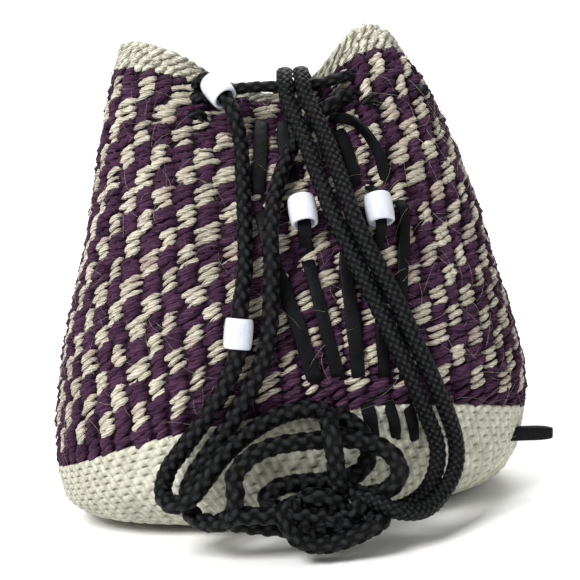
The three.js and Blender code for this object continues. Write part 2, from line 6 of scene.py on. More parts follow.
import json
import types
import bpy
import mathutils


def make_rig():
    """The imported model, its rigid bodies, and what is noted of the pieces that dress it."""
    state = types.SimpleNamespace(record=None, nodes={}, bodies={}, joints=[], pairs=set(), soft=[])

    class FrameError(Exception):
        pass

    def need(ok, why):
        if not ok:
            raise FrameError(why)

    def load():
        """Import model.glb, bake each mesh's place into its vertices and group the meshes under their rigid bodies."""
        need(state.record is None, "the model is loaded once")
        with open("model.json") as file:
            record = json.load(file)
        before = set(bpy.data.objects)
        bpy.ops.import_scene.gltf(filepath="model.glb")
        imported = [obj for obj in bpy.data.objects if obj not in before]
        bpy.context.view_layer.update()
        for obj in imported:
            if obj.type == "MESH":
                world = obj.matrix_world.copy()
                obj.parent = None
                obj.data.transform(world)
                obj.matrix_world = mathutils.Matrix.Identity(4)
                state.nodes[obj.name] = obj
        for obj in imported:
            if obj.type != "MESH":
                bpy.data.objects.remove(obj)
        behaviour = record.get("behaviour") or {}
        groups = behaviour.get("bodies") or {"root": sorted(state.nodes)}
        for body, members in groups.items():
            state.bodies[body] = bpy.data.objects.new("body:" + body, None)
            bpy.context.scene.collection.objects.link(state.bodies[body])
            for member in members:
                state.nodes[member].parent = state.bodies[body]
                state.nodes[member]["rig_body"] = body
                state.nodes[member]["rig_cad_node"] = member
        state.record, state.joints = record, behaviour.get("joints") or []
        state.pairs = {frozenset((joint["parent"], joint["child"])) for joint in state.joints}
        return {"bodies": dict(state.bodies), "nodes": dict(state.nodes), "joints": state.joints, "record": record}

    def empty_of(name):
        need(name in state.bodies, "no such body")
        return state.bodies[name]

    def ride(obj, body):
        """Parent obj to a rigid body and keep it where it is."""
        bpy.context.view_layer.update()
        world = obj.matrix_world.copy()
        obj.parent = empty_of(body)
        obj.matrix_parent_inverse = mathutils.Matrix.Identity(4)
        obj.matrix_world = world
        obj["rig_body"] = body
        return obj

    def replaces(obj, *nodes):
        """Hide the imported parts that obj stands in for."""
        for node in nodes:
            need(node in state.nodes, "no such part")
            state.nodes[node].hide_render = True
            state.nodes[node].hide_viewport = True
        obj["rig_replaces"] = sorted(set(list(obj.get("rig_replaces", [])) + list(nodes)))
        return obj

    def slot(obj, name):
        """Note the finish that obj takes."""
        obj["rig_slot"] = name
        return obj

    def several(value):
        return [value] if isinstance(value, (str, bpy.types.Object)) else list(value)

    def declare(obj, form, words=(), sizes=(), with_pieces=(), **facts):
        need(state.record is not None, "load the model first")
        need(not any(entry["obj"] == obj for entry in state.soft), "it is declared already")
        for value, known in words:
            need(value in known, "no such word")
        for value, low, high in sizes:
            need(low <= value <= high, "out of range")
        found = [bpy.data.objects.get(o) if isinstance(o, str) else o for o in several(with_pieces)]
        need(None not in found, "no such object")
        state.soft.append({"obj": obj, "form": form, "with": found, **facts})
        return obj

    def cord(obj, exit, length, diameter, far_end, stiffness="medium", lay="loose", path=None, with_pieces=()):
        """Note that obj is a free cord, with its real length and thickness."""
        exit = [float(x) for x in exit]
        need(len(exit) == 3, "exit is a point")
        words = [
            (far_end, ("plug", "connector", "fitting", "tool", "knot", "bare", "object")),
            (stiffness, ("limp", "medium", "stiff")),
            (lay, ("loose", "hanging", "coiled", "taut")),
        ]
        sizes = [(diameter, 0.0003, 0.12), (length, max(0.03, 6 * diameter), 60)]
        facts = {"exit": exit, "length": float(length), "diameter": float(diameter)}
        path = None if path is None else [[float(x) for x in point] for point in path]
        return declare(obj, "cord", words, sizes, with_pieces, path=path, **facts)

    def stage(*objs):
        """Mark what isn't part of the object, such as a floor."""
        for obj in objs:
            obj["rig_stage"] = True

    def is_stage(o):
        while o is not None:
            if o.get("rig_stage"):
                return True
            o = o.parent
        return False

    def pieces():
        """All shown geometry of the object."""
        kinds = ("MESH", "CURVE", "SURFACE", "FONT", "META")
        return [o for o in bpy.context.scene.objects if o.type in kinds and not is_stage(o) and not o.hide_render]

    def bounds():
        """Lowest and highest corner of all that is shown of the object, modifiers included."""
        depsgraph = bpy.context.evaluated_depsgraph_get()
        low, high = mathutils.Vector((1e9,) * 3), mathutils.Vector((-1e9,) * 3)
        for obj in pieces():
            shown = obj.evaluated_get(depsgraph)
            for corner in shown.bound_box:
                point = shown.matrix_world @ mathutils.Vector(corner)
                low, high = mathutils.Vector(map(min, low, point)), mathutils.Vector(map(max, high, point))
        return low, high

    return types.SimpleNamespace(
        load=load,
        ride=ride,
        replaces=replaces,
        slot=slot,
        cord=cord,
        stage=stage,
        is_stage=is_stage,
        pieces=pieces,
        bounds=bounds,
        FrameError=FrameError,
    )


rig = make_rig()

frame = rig.load()

import json
import math

import bpy
import numpy as np
from bpy.props import FloatProperty, FloatVectorProperty, IntProperty, PointerProperty
from mathutils import Matrix, Vector

bl_info = {
    "name": "Twined sisal bag",
    "version": (1, 0, 0),
    "blender": (4, 5, 0),
    "location": "View3D > Sidebar > Bag",
    "description": "Twining, braided cords, beads and laces of a drawstring bag",
    "category": "Add Mesh",
}

MM = 0.001
BODY = "root"
CAD_BOX = [list(corner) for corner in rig.bounds()]

# One row per section of the outer face, from the foot up: the height at the sides, the reaches from the
# middle, the roundness of the plan, how far the middle is drawn in, how far the front is raised, how far
# the middle of the mouth dips, and the slope from left to right.
SECTION_COLUMNS = (
    "level", "left", "right", "front", "back", "square", "pinch", "lift", "dip_front", "dip_back", "slope")
SECTIONS = np.array([
    (0, 70, 68, 46, 50, 2.2, 0, 0, 0, 0, 0),
    (4, 93, 90, 60, 64, 2.2, 0, 3, 0, 0, 1),
    (12, 107, 102, 72, 75, 2.2, 0, 10, 0, 0, 3),
    (26, 112, 108, 80, 81, 2.2, 0, 20, 0, 0, 5),
    (46, 112, 111, 83, 83, 2.3, 0, 23, 0, 0, 5),
    (72, 108, 108, 81, 80, 2.3, 0, 19, 0, 0, 4),
    (102, 100, 101, 74, 72, 2.3, 0, 12, 0, 0, 3),
    (132, 90, 95, 64, 61, 2.2, 0.02, 6, 1, 2, 2),
    (160, 83, 87, 52, 49, 2.1, 0.1, 2, 5, 8, 1),
    (184, 77, 79, 41, 37, 2.0, 0.3, 0, 12, 16, 0),
    (199, 73, 72.5, 33, 30, 2.0, 0.46, 0, 17, 22, 0),
    (211, 69, 66, 29, 27, 2.0, 0.5, 0, 22, 27, 0),
    (224, 65, 60, 28, 26, 2.0, 0.5, 0, 32, 36, 0),
], float)

# Outer face: heights of the bands, width of the pinch, place and spread of the dip, and the two ears.
BASE_TOP, RIM_FOOT, RIM_CREST, RIM_TOP = 34.0, 210.0, 223.4, 224.0
PINCH_WIDTH, SLOPE_REACH = 27.0, 111.0
DIP_X, DIP_LEFT, DIP_RIGHT = 8.5, 50.0, 29.0
EAR_START, EAR_SPAN, EAR_POWER = 150.0, 72.0, 8
EAR_LEFT, EAR_RIGHT = 4.0, 9.0
RISE_LEFT, RISE_RIGHT = 5.8, 3.2
FRONT = -math.pi / 2
TURN_STEP, LEVEL_STEP = 0.002, 0.5
WIDEST_SHARE = 0.9999

# Steps of curves and rows, and the shift of the map from tube to tube
CURVE_STEPS, LEAST_POINTS, ROW_STEPS = 40, 6, 721
MAP_SHIFT = 3.7

# Twined rows: counts, points round a row, and the share, width, taper and roughness of each strand of a pair.
BODY_ROWS, PLAIN_ROWS, CHECK_ROWS, BODY_POINTS = 51, 2, 3, 400
RIM_ROWS, RIM_START, RIM_POINTS = 5, 0.55, 380
CREAM_SHARE = 0.07
BODY_LOOKS = ((CREAM_SHARE, 0.5, 0.78, 0.1), (-CREAM_SHARE, 0.6, 0.2, 0.24))
RIM_LOOKS = ((0.0, 0.62, 0.45, 0.12), (0.0, 0.62, 0.45, 0.12))

# Shape of a strand: climb, depth, flat top, and the share of a row from which its stitches are eased
RISE_SHARE, DEPTH_SHARE, FLATNESS, CROWN_POWER = 0.52, 0.8, 0.3, 0.7
EASE_START = 0.25
STRAND_SIDES, ROUGH_LIMIT, START_SCATTER = 5, 0.4, 0.14

# Unevenness of the rows: numbers of waves round a row, and their size.
HEIGHT_WANDER = (3, 7, 11), 0.35
CHECK_WANDER = (4, 9, 17, 23), 0.5
STITCH_WANDER = (7, 13, 29), 0.16
SHARE_WANDER = (11, 19, 37), 0.26
WIDTH_WANDER = (13, 29, 41), 0.12
SWING_WANDER = (15, 31, 43), 0.2
FOOT_WANDER = (5, 13, 29), 0.34

# Foot: its rows crowd towards the floor. The half width and the climb of a stitch are shares of a row, and
# the heights are shares of the relief.
FOOT_EDGE, FOOT_RELIEF, FOOT_ROWS, FOOT_CROWD = 0.3, 1.5, 14, 1.25
FOOT_POINTS, FOOT_STEPS, FOOT_SCATTER = 680, 7, 0.2
FOOT_HALF, FOOT_TAPER, FOOT_CLIMB = 0.53, 0.4, 0.27
FOOT_BASE, FOOT_SWING, FOOT_ROUND, FOOT_MIDDLE = 0.25, 0.22, 0.53, 0.7
FOOT_LOWEST, FOOT_INSIDE, FOOT_INNER_STEP = 0.2, 1.5, 12
# Least relief of the outer face and relief of the inner face, from which the material paints shade; spacing of the map
FOOT_SHADE, FOOT_INNER_SHADE, FOOT_MAP = 0.2, 0.6, 0.9

# Warp core, by piece: lowest and highest level, number of levels, and look
CORES = {
    "warp_core": (BASE_TOP - 2, RIM_FOOT, 28, "sisal_purple"),
    "rim_core": (RIM_FOOT + 0.2, RIM_TOP, 5, "sisal_cream"),
}
CORE_HALF, CORE_POINTS, CORE_MAP = 0.35, 120, 4.0

# Floor of the bag
FLOOR_TOP, FLOOR_LOW, FLOOR_LEVEL, FLOOR_RIDGE = 4.0, 0.8, 1.0, 0.5
FLOOR_ROWS, FLOOR_STEPS, FLOOR_START, FLOOR_MAP = 13, 27, 0.02, 1.8

# Hairs, by piece: levels, rings, shape, scale and least value of the lengths, curl, thickness and look
HAIRS = {
    "loose_hairs": ((6, 214), 6, (3.0, 3.4, 3.0), 0.9, 0.11, "sisal_cream"),
    "rim_fuzz": ((RIM_FOOT, RIM_CREST), 4, (3.0, 0.9, 1.0), 0.8, 0.08, "sisal_cream"),
    "purple_fuzz": ((BASE_TOP, RIM_FOOT), 3, (3.0, 0.6, 1.2), 0.8, 0.09, "sisal_purple"),
}
LONGEST_HAIR, RIM_FUZZ_PART, HAIR_SIDES = 16.0, 6, 3
HAIR_LIFT, HAIR_ARCH, HAIR_CEILING = (2.0, 0.12), (0.5, 1.0), 0.25
HAIR_ROOT, HAIR_LOWEST, HAIR_TAPER = 0.3, 0.3, 0.75

# Beads, as centre and axis, and the knot
BEAD_MOUTH = ((-20, -40, 195), (0.46, -0.6, -0.66))
BEAD_HANGING = ((-19, -88, 93), (-0.17, -0.1, -0.98))
BEAD_HALF, BEAD_RADIUS, BEAD_BORE, BEAD_LIP, BEAD_EDGE = 6.4, 6.1, 4.2, 0.5, 0.35
BEAD_SQUARE, BEAD_SHOULDER, BEAD_STEPS, BEAD_TURNS = 0.8, 0.5, 33, 48
KNOT_CENTRE = np.array((13.0, -102.0, 19.5))
KNOT_HALF, KNOT_LEAD, GAP = 12.0, 3.8, 0.3
KNOT_FOLD, KNOT_LEAN, KNOT_STEPS = (4.3, 3.6, 3.3), 0.7, 1200
WRAP_CENTRE, WRAP_REACH = (-17.0, 0.5, -4.0), (26.0, 6.0, 5.5)
TURN_CENTRE, TURN_REACH = (0.0, -1.0, -7.0), (10.0, 3.0, 2.5)

# Braids as strands one way round and length of a diamond, and the shapes of the cords' sections
COARSE_BRAID, FINE_BRAID = (4, 6.6), (6, 3.6)
BRAID_POINTS, BRAID_STEPS, BRAID_FLOOR, LINE_SKIP = 6, 6, 0.62, 3
HELD_RELIEF, STRAP_RELIEF, STRAP_FILL = 0.7, 0.55, 1.13
SLACK_TOP, SLACK_LOW, SLACK_SIZE, SLACK_GROWTH = 150.0, 50.0, 1.06, 0.17
LOOP_WIDE, LOOP_DEEP = 1.35, 0.95
PRESS_LOW, PRESS_HIGH, PRESS_DROP, PRESS_FLAT = 191.0, 199.0, 1.3, 0.4
RING_LEVEL, RING_INSET, RING_TURN = 191.0, 9.2, (200, -23, -12)

# Short runs of the drawstring between the rows, as level and x
STITCHES = ((202, -28.8), (192, -30.5), (186.3, 47), (188.6, 72))
STITCH_REACH, STITCH_RISE, STITCH_SINK, STITCH_STEPS = 3.4, 0.9, 4.0, 25

# Leather: heights of a lace's middle above the outer face, its steps, and the side tab
UNDER, OVER, ON_BEAD = -2.5, 1.3, 7.2
LACE_STEP, LACE_CUP, LACE_ROUND = 1.6, 0.25, 0.55
LACE_RAGGED = ((0.05, 9.0), (0.03, 3.1))
STRIP_SIDES, STRIP_SQUARE = 20, 0.3
TAB_LENGTH, TAB_HEIGHT, TAB_LAYER, TAB_SLOT, TAB_ROUND = 27.0, 6.2, 1.9, 1.2, 0.5
TAB_NARROW, TAB_END, TAB_STEP, TAB_TURNS = 0.3, 0.3, 0.5, 24
TAB_ROOT, TAB_SWING, TAB_DROOP = (92, -31.5, 29), 8, 5

# Stage: lights by property, as place, point they look at and size, and the camera, in metres; then the floor
STAGE_MIDDLE, CAMERA_TARGET = (0.0, 0.0, 0.1), (0.0038, 0.0, 0.1)
LIGHTS = {
    "key": ((-0.75, -0.95, 1.2), STAGE_MIDDLE, 0.7),
    "fill": ((1.2, -0.9, 0.7), STAGE_MIDDLE, 0.9),
    "rear": ((0.3, 0.9, 1.3), STAGE_MIDDLE, 1.0),
    "backdrop": ((0.0, 1.4, 2.2), (0.0, 3.2, 0.2), 2.0),
}
SENSOR, CLIP_NEAR, CLIP_FAR = 36.0, 0.01, 50.0
STAGE_HALF, STAGE_FLAT, STAGE_COLUMNS, STAGE_STEPS = 4000, (-1200, 2400), 33, 24
STAGE_BEND, STAGE_RADIUS, STAGE_TOP, STAGE_GAP = 2600, 800, 3600, 0.05


def unit(v):
    """Vectors scaled to length 1."""
    return v / np.linalg.norm(v, axis=-1, keepdims=True)


def smooth(share):
    """Share from 0 to 1, eased at both ends."""
    return share * share * (3 - 2 * share)


def powered(v, power):
    """Power of the size of a value, with the value's sign."""
    return np.sign(v) * np.abs(v) ** power


def full_turn(count):
    """Evenly spaced angles of one full turn."""
    return np.arange(count) / count * 2 * np.pi


def run_along(points):
    """Run of each point of a line from its start."""
    return np.concatenate([[0], np.cumsum(np.linalg.norm(np.diff(points, axis=0), axis=1))])


def column(name, level):
    """Value of one column at a level: a cubic between rows, with slopes that are means of the neighbours'."""
    xs, ys = SECTIONS[:, 0], SECTIONS[:, SECTION_COLUMNS.index(name)]
    rise = np.diff(ys) / np.diff(xs)
    slope = np.concatenate([rise[:1], (rise[1:] + rise[:-1]) / 2, rise[-1:]])
    i = np.clip(np.searchsorted(xs, level, side="right") - 1, 0, len(xs) - 2)
    h = xs[i + 1] - xs[i]
    t = (level - xs[i]) / h
    a = 2 * t**3 - 3 * t**2 + 1
    below = a * ys[i] + (t**3 - 2 * t**2 + t) * h * slope[i]
    return below + (1 - a) * ys[i + 1] + (t**3 - t**2) * h * slope[i + 1]


def wall(level, angle):
    """Point of the outer face: a superellipse in plan, drawn in at the middle, raised in front, dipped at the
    mouth between two ears, which stand up and droop at their ends. Angle 0 is the right side, and minus a
    quarter turn is the front."""
    level, angle = np.broadcast_arrays(np.asarray(level, float), np.asarray(angle, float))
    c, s = np.cos(angle), np.sin(angle)
    reach_x = np.where(c < 0, column("left", level), column("right", level))
    reach_y = np.where(s < 0, column("front", level), column("back", level))
    power = 2 / column("square", level)
    x = reach_x * powered(c, power)
    drawn_in = column("pinch", level) * np.exp(-((x / PINCH_WIDTH) ** 2))
    y = reach_y * powered(s, power) * (1 - drawn_in)
    back = column("dip_back", level)
    dip = back + (column("dip_front", level) - back) * (1 - s) / 2
    upper = np.clip((level - EAR_START) / EAR_SPAN, 0, 1) ** 2
    z = level + column("lift", level) * np.clip(-s, 0, 1) ** 2 + column("slope", level) * x / SLOPE_REACH
    spread = np.where(x < DIP_X, DIP_LEFT, DIP_RIGHT)
    droop = np.where(c < 0, EAR_LEFT, EAR_RIGHT) * upper * np.abs(x / reach_x) ** EAR_POWER
    middle = np.exp(-(((x - DIP_X) / spread) ** 2))
    rise = np.where(c < 0, RISE_LEFT, RISE_RIGHT) * upper * (1 - middle)
    z = z - dip * middle + rise - droop
    return np.stack([x, y, z], -1)


def wall_frame(level, angle):
    """Point, outward normal and upward direction of the outer face, by small differences."""
    level, angle = np.broadcast_arrays(np.asarray(level, float), np.asarray(angle, float))
    around = wall(level, angle + TURN_STEP) - wall(level, angle - TURN_STEP)
    near = np.clip(level, LEVEL_STEP, RIM_TOP - LEVEL_STEP)
    up = wall(near + LEVEL_STEP, angle) - wall(near - LEVEL_STEP, angle)
    normal = unit(np.cross(around, up))
    return wall(level, angle), normal, unit(np.cross(normal, around))


def front_angle(level, x):
    """Angle on the front half where the outer face has a given x."""
    reach = np.where(x < 0, column("left", level), column("right", level))
    share = np.clip(np.abs(x) / reach, 0, WIDEST_SHARE) ** (column("square", level) / 2)
    return -np.arccos(np.sign(x) * share)


def smooth_path(points, step):
    """Uniform Catmull-Rom curve through the points, resampled evenly at about the step, in millimetres."""
    p = np.asarray(points, float)
    q = np.vstack([2 * p[0] - p[1], p, 2 * p[-1] - p[-2]])
    t = np.linspace(0, 1, CURVE_STEPS, endpoint=False)[None, :, None]
    p0, p1, p2, p3 = (q[k:len(q) - 3 + k, None, :] for k in range(4))
    v0, v1 = (p2 - p0) / 2, (p3 - p1) / 2
    fine = (2 * p1 - 2 * p2 + v0 + v1) * t**3 + (3 * p2 - 3 * p1 - 2 * v0 - v1) * t**2 + v0 * t + p1
    fine = np.vstack([fine.reshape(-1, 3), p[-1:]])
    return even_path(fine, step)


def even_path(fine, step):
    """The same line with points evenly spaced along it, and the run of each point from the start."""
    run = run_along(fine)
    at = np.linspace(0, run[-1], max(LEAST_POINTS, int(round(run[-1] / step)) + 1))
    return np.stack([np.interp(at, run, fine[:, k]) for k in range(3)], 1), at


def path_frames(path, first):
    """Side and normal along a path, carried on from ring to ring with the least turn."""
    along = unit(np.gradient(path, axis=0))
    normal = np.empty_like(path)
    carried = np.asarray(first, float)
    for i, t in enumerate(along):
        carried = unit(carried - (carried @ t) * t)
        normal[i] = carried
    return np.cross(along, normal), normal


def add_mesh(name, points, quads, uv, material, caps=(), relief=None):
    """Mesh of quads and end caps from whole arrays, turned so that its volume is positive. Relief is stored
    with the vertices, 1 on the crowns of the strands and 0 in the grooves; the materials paint shade and
    highlights from it."""
    a, b, c, d = (points[quads[:, k]] for k in range(4))
    volume = np.einsum("ij,ij->", a, np.cross(b, c)) + np.einsum("ij,ij->", a, np.cross(c, d))
    if volume < 0:
        quads, uv = quads[:, ::-1], uv[:, ::-1]
        caps = [cap[::-1] for cap in caps]
    loops = np.concatenate([quads.ravel(), *caps]).astype(np.int32)
    sizes = np.concatenate([np.full(len(quads), 4), [len(cap) for cap in caps]]).astype(np.int32)
    starts = np.concatenate([[0], np.cumsum(sizes)[:-1]]).astype(np.int32)
    mesh = bpy.data.meshes.new(name)
    mesh.vertices.add(len(points))
    mesh.vertices.foreach_set("co", (points * MM).astype(np.float32).ravel())
    mesh.loops.add(len(loops))
    mesh.polygons.add(len(sizes))
    mesh.polygons.foreach_set("loop_start", starts)
    mesh.polygons.foreach_set("vertices", loops)
    layer = mesh.uv_layers.new(name="UVMap")
    flat = np.zeros((len(loops), 2), np.float32)
    flat[:quads.size] = uv.reshape(-1, 2)
    layer.data.foreach_set("uv", flat.ravel())
    mesh.polygons.foreach_set("use_smooth", np.ones(len(sizes), bool))
    mesh.update(calc_edges=True)
    if relief is not None:
        layer = mesh.attributes.new("relief", "FLOAT", "POINT")
        layer.data.foreach_set("value", relief.astype(np.float32).ravel())
    mesh.materials.append(material)
    piece = bpy.data.objects.new(name, mesh)
    bpy.context.scene.collection.objects.link(piece)
    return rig.ride(piece, BODY)


def grid_quads(tubes, rings, sides, ring_loop):
    """Corner indices of the quads of tubes x rings x sides points whose sides close round, with the unwrapped
    ring and side number of each corner for the map."""
    i, j = np.meshgrid(np.arange(rings if ring_loop else rings - 1), np.arange(sides), indexing="ij")
    ring = np.stack([i, i + 1, i + 1, i], -1).reshape(-1, 4)
    side = np.stack([j, j, j + 1, j + 1], -1).reshape(-1, 4)
    one = (ring % rings) * sides + side % sides
    quads = (np.arange(tubes)[:, None, None] * rings * sides + one).reshape(-1, 4)
    return quads, ring, side


def add_tubes(name, rings, run, material, ring_loop=False, relief=None):
    """Piece from tubes x rings x sides points. The map has the run along the tube in centimetres and the
    share of a turn around it."""
    tubes, count, sides = rings.shape[:3]
    quads, ring, side = grid_quads(tubes, count, sides, ring_loop)
    run = np.broadcast_to(np.asarray(run, float), (tubes, count))
    if ring_loop:
        run = np.concatenate([run, 2 * run[:, -1:] - run[:, -2:-1]], 1)
    u = run[:, ring] / 10 + MAP_SHIFT * np.arange(tubes)[:, None, None]
    uv = np.stack([u, np.broadcast_to(side / sides, u.shape)], -1).reshape(-1, 4, 2)
    caps = []
    if not ring_loop:
        first = np.arange(tubes)[:, None] * count * sides + np.arange(sides)
        last = (first + (count - 1) * sides)[:, ::-1]
        caps = list(first) + list(last)
    return add_mesh(name, rings.reshape(-1, 3), quads, uv, material, caps, relief)


def row_frames(levels, samples, depth):
    """Evenly spaced points round the wall at each level, at a depth below the outer face, with normal, upward
    direction, local distance between rows, signed run from the middle of the front and length of the row."""
    dense = np.linspace(0, 2 * np.pi, ROW_STEPS)
    line = wall(levels[:, None], FRONT + dense[None])
    steps = np.linalg.norm(np.diff(line, axis=1), axis=2)
    run = np.concatenate([np.zeros((len(levels), 1)), np.cumsum(steps, 1)], 1)
    length = run[:, -1]
    share = np.arange(samples) / samples
    turn = FRONT + np.stack([np.interp(share * total, row, dense) for row, total in zip(run, length)])
    point, normal, up = wall_frame(levels[:, None], turn)
    pitch = np.gradient(levels)[:, None]
    above, below = (np.clip(levels[:, None] + side * pitch / 2, 0, RIM_TOP) for side in (1, -1))
    stretch = np.linalg.norm(wall(above, turn) - wall(below, turn), axis=-1) / (above - below)
    signed = np.where(share < 0.5, share, share - 1)[None] * length[:, None]
    return point - depth * normal, normal, up, pitch * stretch, signed, length


def twist_phase(signed, length, stitch):
    """Turn of a twined pair along its row, half a turn per stitch. The stitch is exact over the front;
    towards the back it is eased so that the row closes on an even count."""
    stitches = length / stitch
    spare = 2 * np.round(stitches / 2) - stitches
    ease = smooth(np.clip((np.abs(signed) / length[:, None] - EASE_START) / (0.5 - EASE_START), 0, 1))
    return np.pi * (signed / stitch + np.sign(signed) * ease * spare[:, None] / 2)


def twined_strands(frames, phase, swing, look, wobble, rough):
    """Tubes of one strand of each twined row, and how far out each ring lies, from 0 to 1. The centre line
    swings out and in with the cosine of the phase, flattened on top, and climbs with its sine, so that each
    stitch leans. A share below 0 shortens the stitches that show and above 0 lengthens them. An oval section
    follows the line, as wide as the row allows on top and narrower where the strand dives. Wobble makes it
    thicker and thinner, and rough moves each point of the surface."""
    point, normal, up, spacing = frames
    share, width, taper = look
    sides = rough.shape[-1]
    turn = np.cos(phase) + share
    flat = turn / np.sqrt(turn**2 + FLATNESS) * math.sqrt(1 + FLATNESS)
    rise = RISE_SHARE * spacing * np.sin(phase)
    centre = point + normal * (swing * flat)[..., None] + up * rise[..., None]
    along = unit(np.roll(centre, -1, 1) - np.roll(centre, 1, 1))
    out = unit(normal - np.sum(normal * along, -1, keepdims=True) * along)
    across = np.cross(along, out)
    psi = full_turn(sides)
    crown = np.clip(turn, 0, 1) ** CROWN_POWER
    half = (width * spacing * wobble * (1 - taper + taper * crown))[..., None] * (1 + rough)
    oval = across[:, :, None] * np.cos(psi)[:, None] + out[:, :, None] * np.sin(psi)[:, None] * DEPTH_SHARE
    level = np.clip(0.5 + 0.5 * flat, 0, 1)
    return centre[:, :, None] + oval * half[..., None], np.repeat(level[..., None], sides, -1)


def braid_relief(psi, run, strands, length):
    """Height of a round braid, from 0 in its grooves to 1 on its crowns: two families of helical strands
    cross in diamonds and take turns to lie on top, each rounded across its width and arched along its
    length."""
    a = strands * psi / (2 * np.pi) + run / length
    b = strands * psi / (2 * np.pi) - run / length
    top = (np.floor(a) + np.floor(b)) % 2
    across_a = np.cos(np.pi * (a - np.floor(a) - 0.5))
    across_b = np.cos(np.pi * (b - np.floor(b) - 0.5))
    across = np.where(top == 0, across_a, across_b)
    arch = np.where(top == 0, across_b, across_a)
    arched = BRAID_FLOOR + (1 - BRAID_FLOOR) * np.sqrt(np.clip(arch, 0, 1))
    return np.sqrt(np.clip(across, 0, 1)) * arched


def braided_rings(path, run, first, diameter, strands, diamond, relief, oval=None):
    """Rings of a braided cord along a path, with the height of the braid on each: a circle whose radius
    follows the braid's relief, flattened to an oval where the cord is pressed."""
    side, normal = path_frames(path, first)
    psi = full_turn(BRAID_POINTS * strands)
    height = braid_relief(psi[None], run[:, None], strands, diamond)
    radius = diameter / 2 - relief * (1 - height)
    wide, deep = np.ones((2, len(path))) if oval is None else oval
    ring = side[:, None] * (wide[:, None] * np.cos(psi))[..., None]
    ring = ring + normal[:, None] * (deep[:, None] * np.sin(psi))[..., None]
    return path[:, None] + ring * radius[..., None], height


def along_bead(bead, distance):
    """Point on a bead's axis, at a distance from its middle."""
    return np.array(bead[0], float) + unit(np.array(bead[1], float)) * distance


def knot_end(side, y, z, reach=0.0):
    """Point just outside an end face of the knot."""
    return KNOT_CENTRE + (side * (KNOT_HALF + GAP + reach), y * KNOT_LEAD, z * KNOT_LEAD)


LEFT_ROUTE = [
    along_bead(BEAD_MOUTH, GAP), along_bead(BEAD_MOUTH, 9.2), (-13.2, -48, 181), (-12, -48, 169),
    (-12.5, -56, 154), (-13, -68, 136), (-14, -77, 120), along_bead(BEAD_HANGING, -11), BEAD_HANGING[0],
    along_bead(BEAD_HANGING, 11), (-29, -88, 68), (-39, -86, 55), (-48, -83, 44.5), (-54, -82.3, 37),
    (-56.5, -87, 29), (-52.5, -95.5, 25.5), (-44.5, -99.2, 28.5), (-37.5, -98.2, 35.5), (-30, -95, 43.5),
    (-19, -90, 51), (-6, -88, 57), (8, -88, 59), (20, -87.5, 54.5), (28, -86.5, 47.5),
    (30.5, -86.5, 39.5), (28, -88, 32.5), (21, -90.5, 29.5), (11, -92, 29), (0, -93, 29.5),
    (-9, -95, 28.5), (-13.5, -97, 24.5), (-9, -98.2, 20.2), knot_end(-1, 1, 0, 4), knot_end(-1, 1, 0),
]
RIGHT_ROUTE = [
    (45, -19, 187), (39.5, -28, 188), (33, -35, 187.5), (27, -38.5, 183.5), (20, -39.2, 177.5),
    (13, -43.8, 170.5), (7, -52, 162), (1, -63, 148), (-2, -74, 133), (-3, -81, 119), (-4.5, -85, 106),
    (-6, -87.5, 94), (-10, -88.5, 81), (-18, -88.5, 67), (-27, -87, 54), (-37, -84, 42),
    (-44, -83.5, 33), (-47, -87, 24.5), (-43, -94, 18.5), (-34, -100.5, 17.5), (-27, -104.5, 22),
    (-25.5, -105.5, 30), (-25, -103.5, 37.5), (-18, -101, 44), (-8, -98.5, 47), (4, -97, 47.5),
    (19, -96, 47), (31, -95.5, 44.5), (39.5, -97.5, 39), (42, -100, 32), (37.5, -100.5, 26),
    knot_end(1, 1, 1, 5), knot_end(1, 1, 1),
]
STRAP_ROUTE = [
    knot_end(1, 1, -1), knot_end(1, 1, -1, 6), (43, -97.5, 17), (53, -88, 20), (59, -80, 28),
    (60, -78, 38), (56, -81, 52), (51, -85, 68), (45, -85, 84), (39, -83, 100), (32, -79, 118),
    (25.5, -74.5, 135), (20.5, -64.5, 152), (16.5, -54.5, 168), (12.5, -47, 180), (10, -42, 188.5),
    (9.8, -38.3, 197), (9.8, -31, 202.1), (9.6, -22, 201.1), (9.2, -13, 198.2), (8.6, -5, 195.8),
    (7, -0.5, 192), (5, 0, 184), (7.5, 0, 173), (15.5, 0, 168), (23.5, 0, 173), (26, 0, 184),
    (24, -1, 191.5), (20, -6.5, 197.5), (18.2, -14, 200.4), (17.3, -22, 201.2), (17, -31, 201.8),
    (17.2, -38.3, 196), (18.2, -42, 188.5), (21.5, -47, 180), (25.5, -54, 168), (29.5, -65, 152),
    (33.5, -75, 135), (40, -79, 118), (47.5, -81, 101), (53.5, -83, 84), (59.5, -82, 68), (65, -78, 52),
    (68.5, -74, 38), (67.5, -76.5, 27), (61, -86, 19), (51, -98, 15), (39, -107, 18),
    knot_end(1, -1, 1, 4), knot_end(1, -1, 1),
]
LOOP_ROUTE = [
    knot_end(-1, -1, 1), knot_end(-1, -1, 1, 3), (-5.8, -108.4, 22), (-4.6, -111.5, 15), (0.6, -112, 9.8),
    (8.5, -112, 8), (17.5, -112, 9.6), (26, -112, 12.4), (32, -109.7, 15), knot_end(1, -1, -1, 4.5),
    knot_end(1, -1, -1),
]
STRAND_ROUTE = [
    (16, -102, 28.8), (16.2, -103.3, 35), (16, -104.2, 42), (15.5, -104, 49), (15, -99.5, 54.2),
    (14.5, -91.8, 56.2),
]


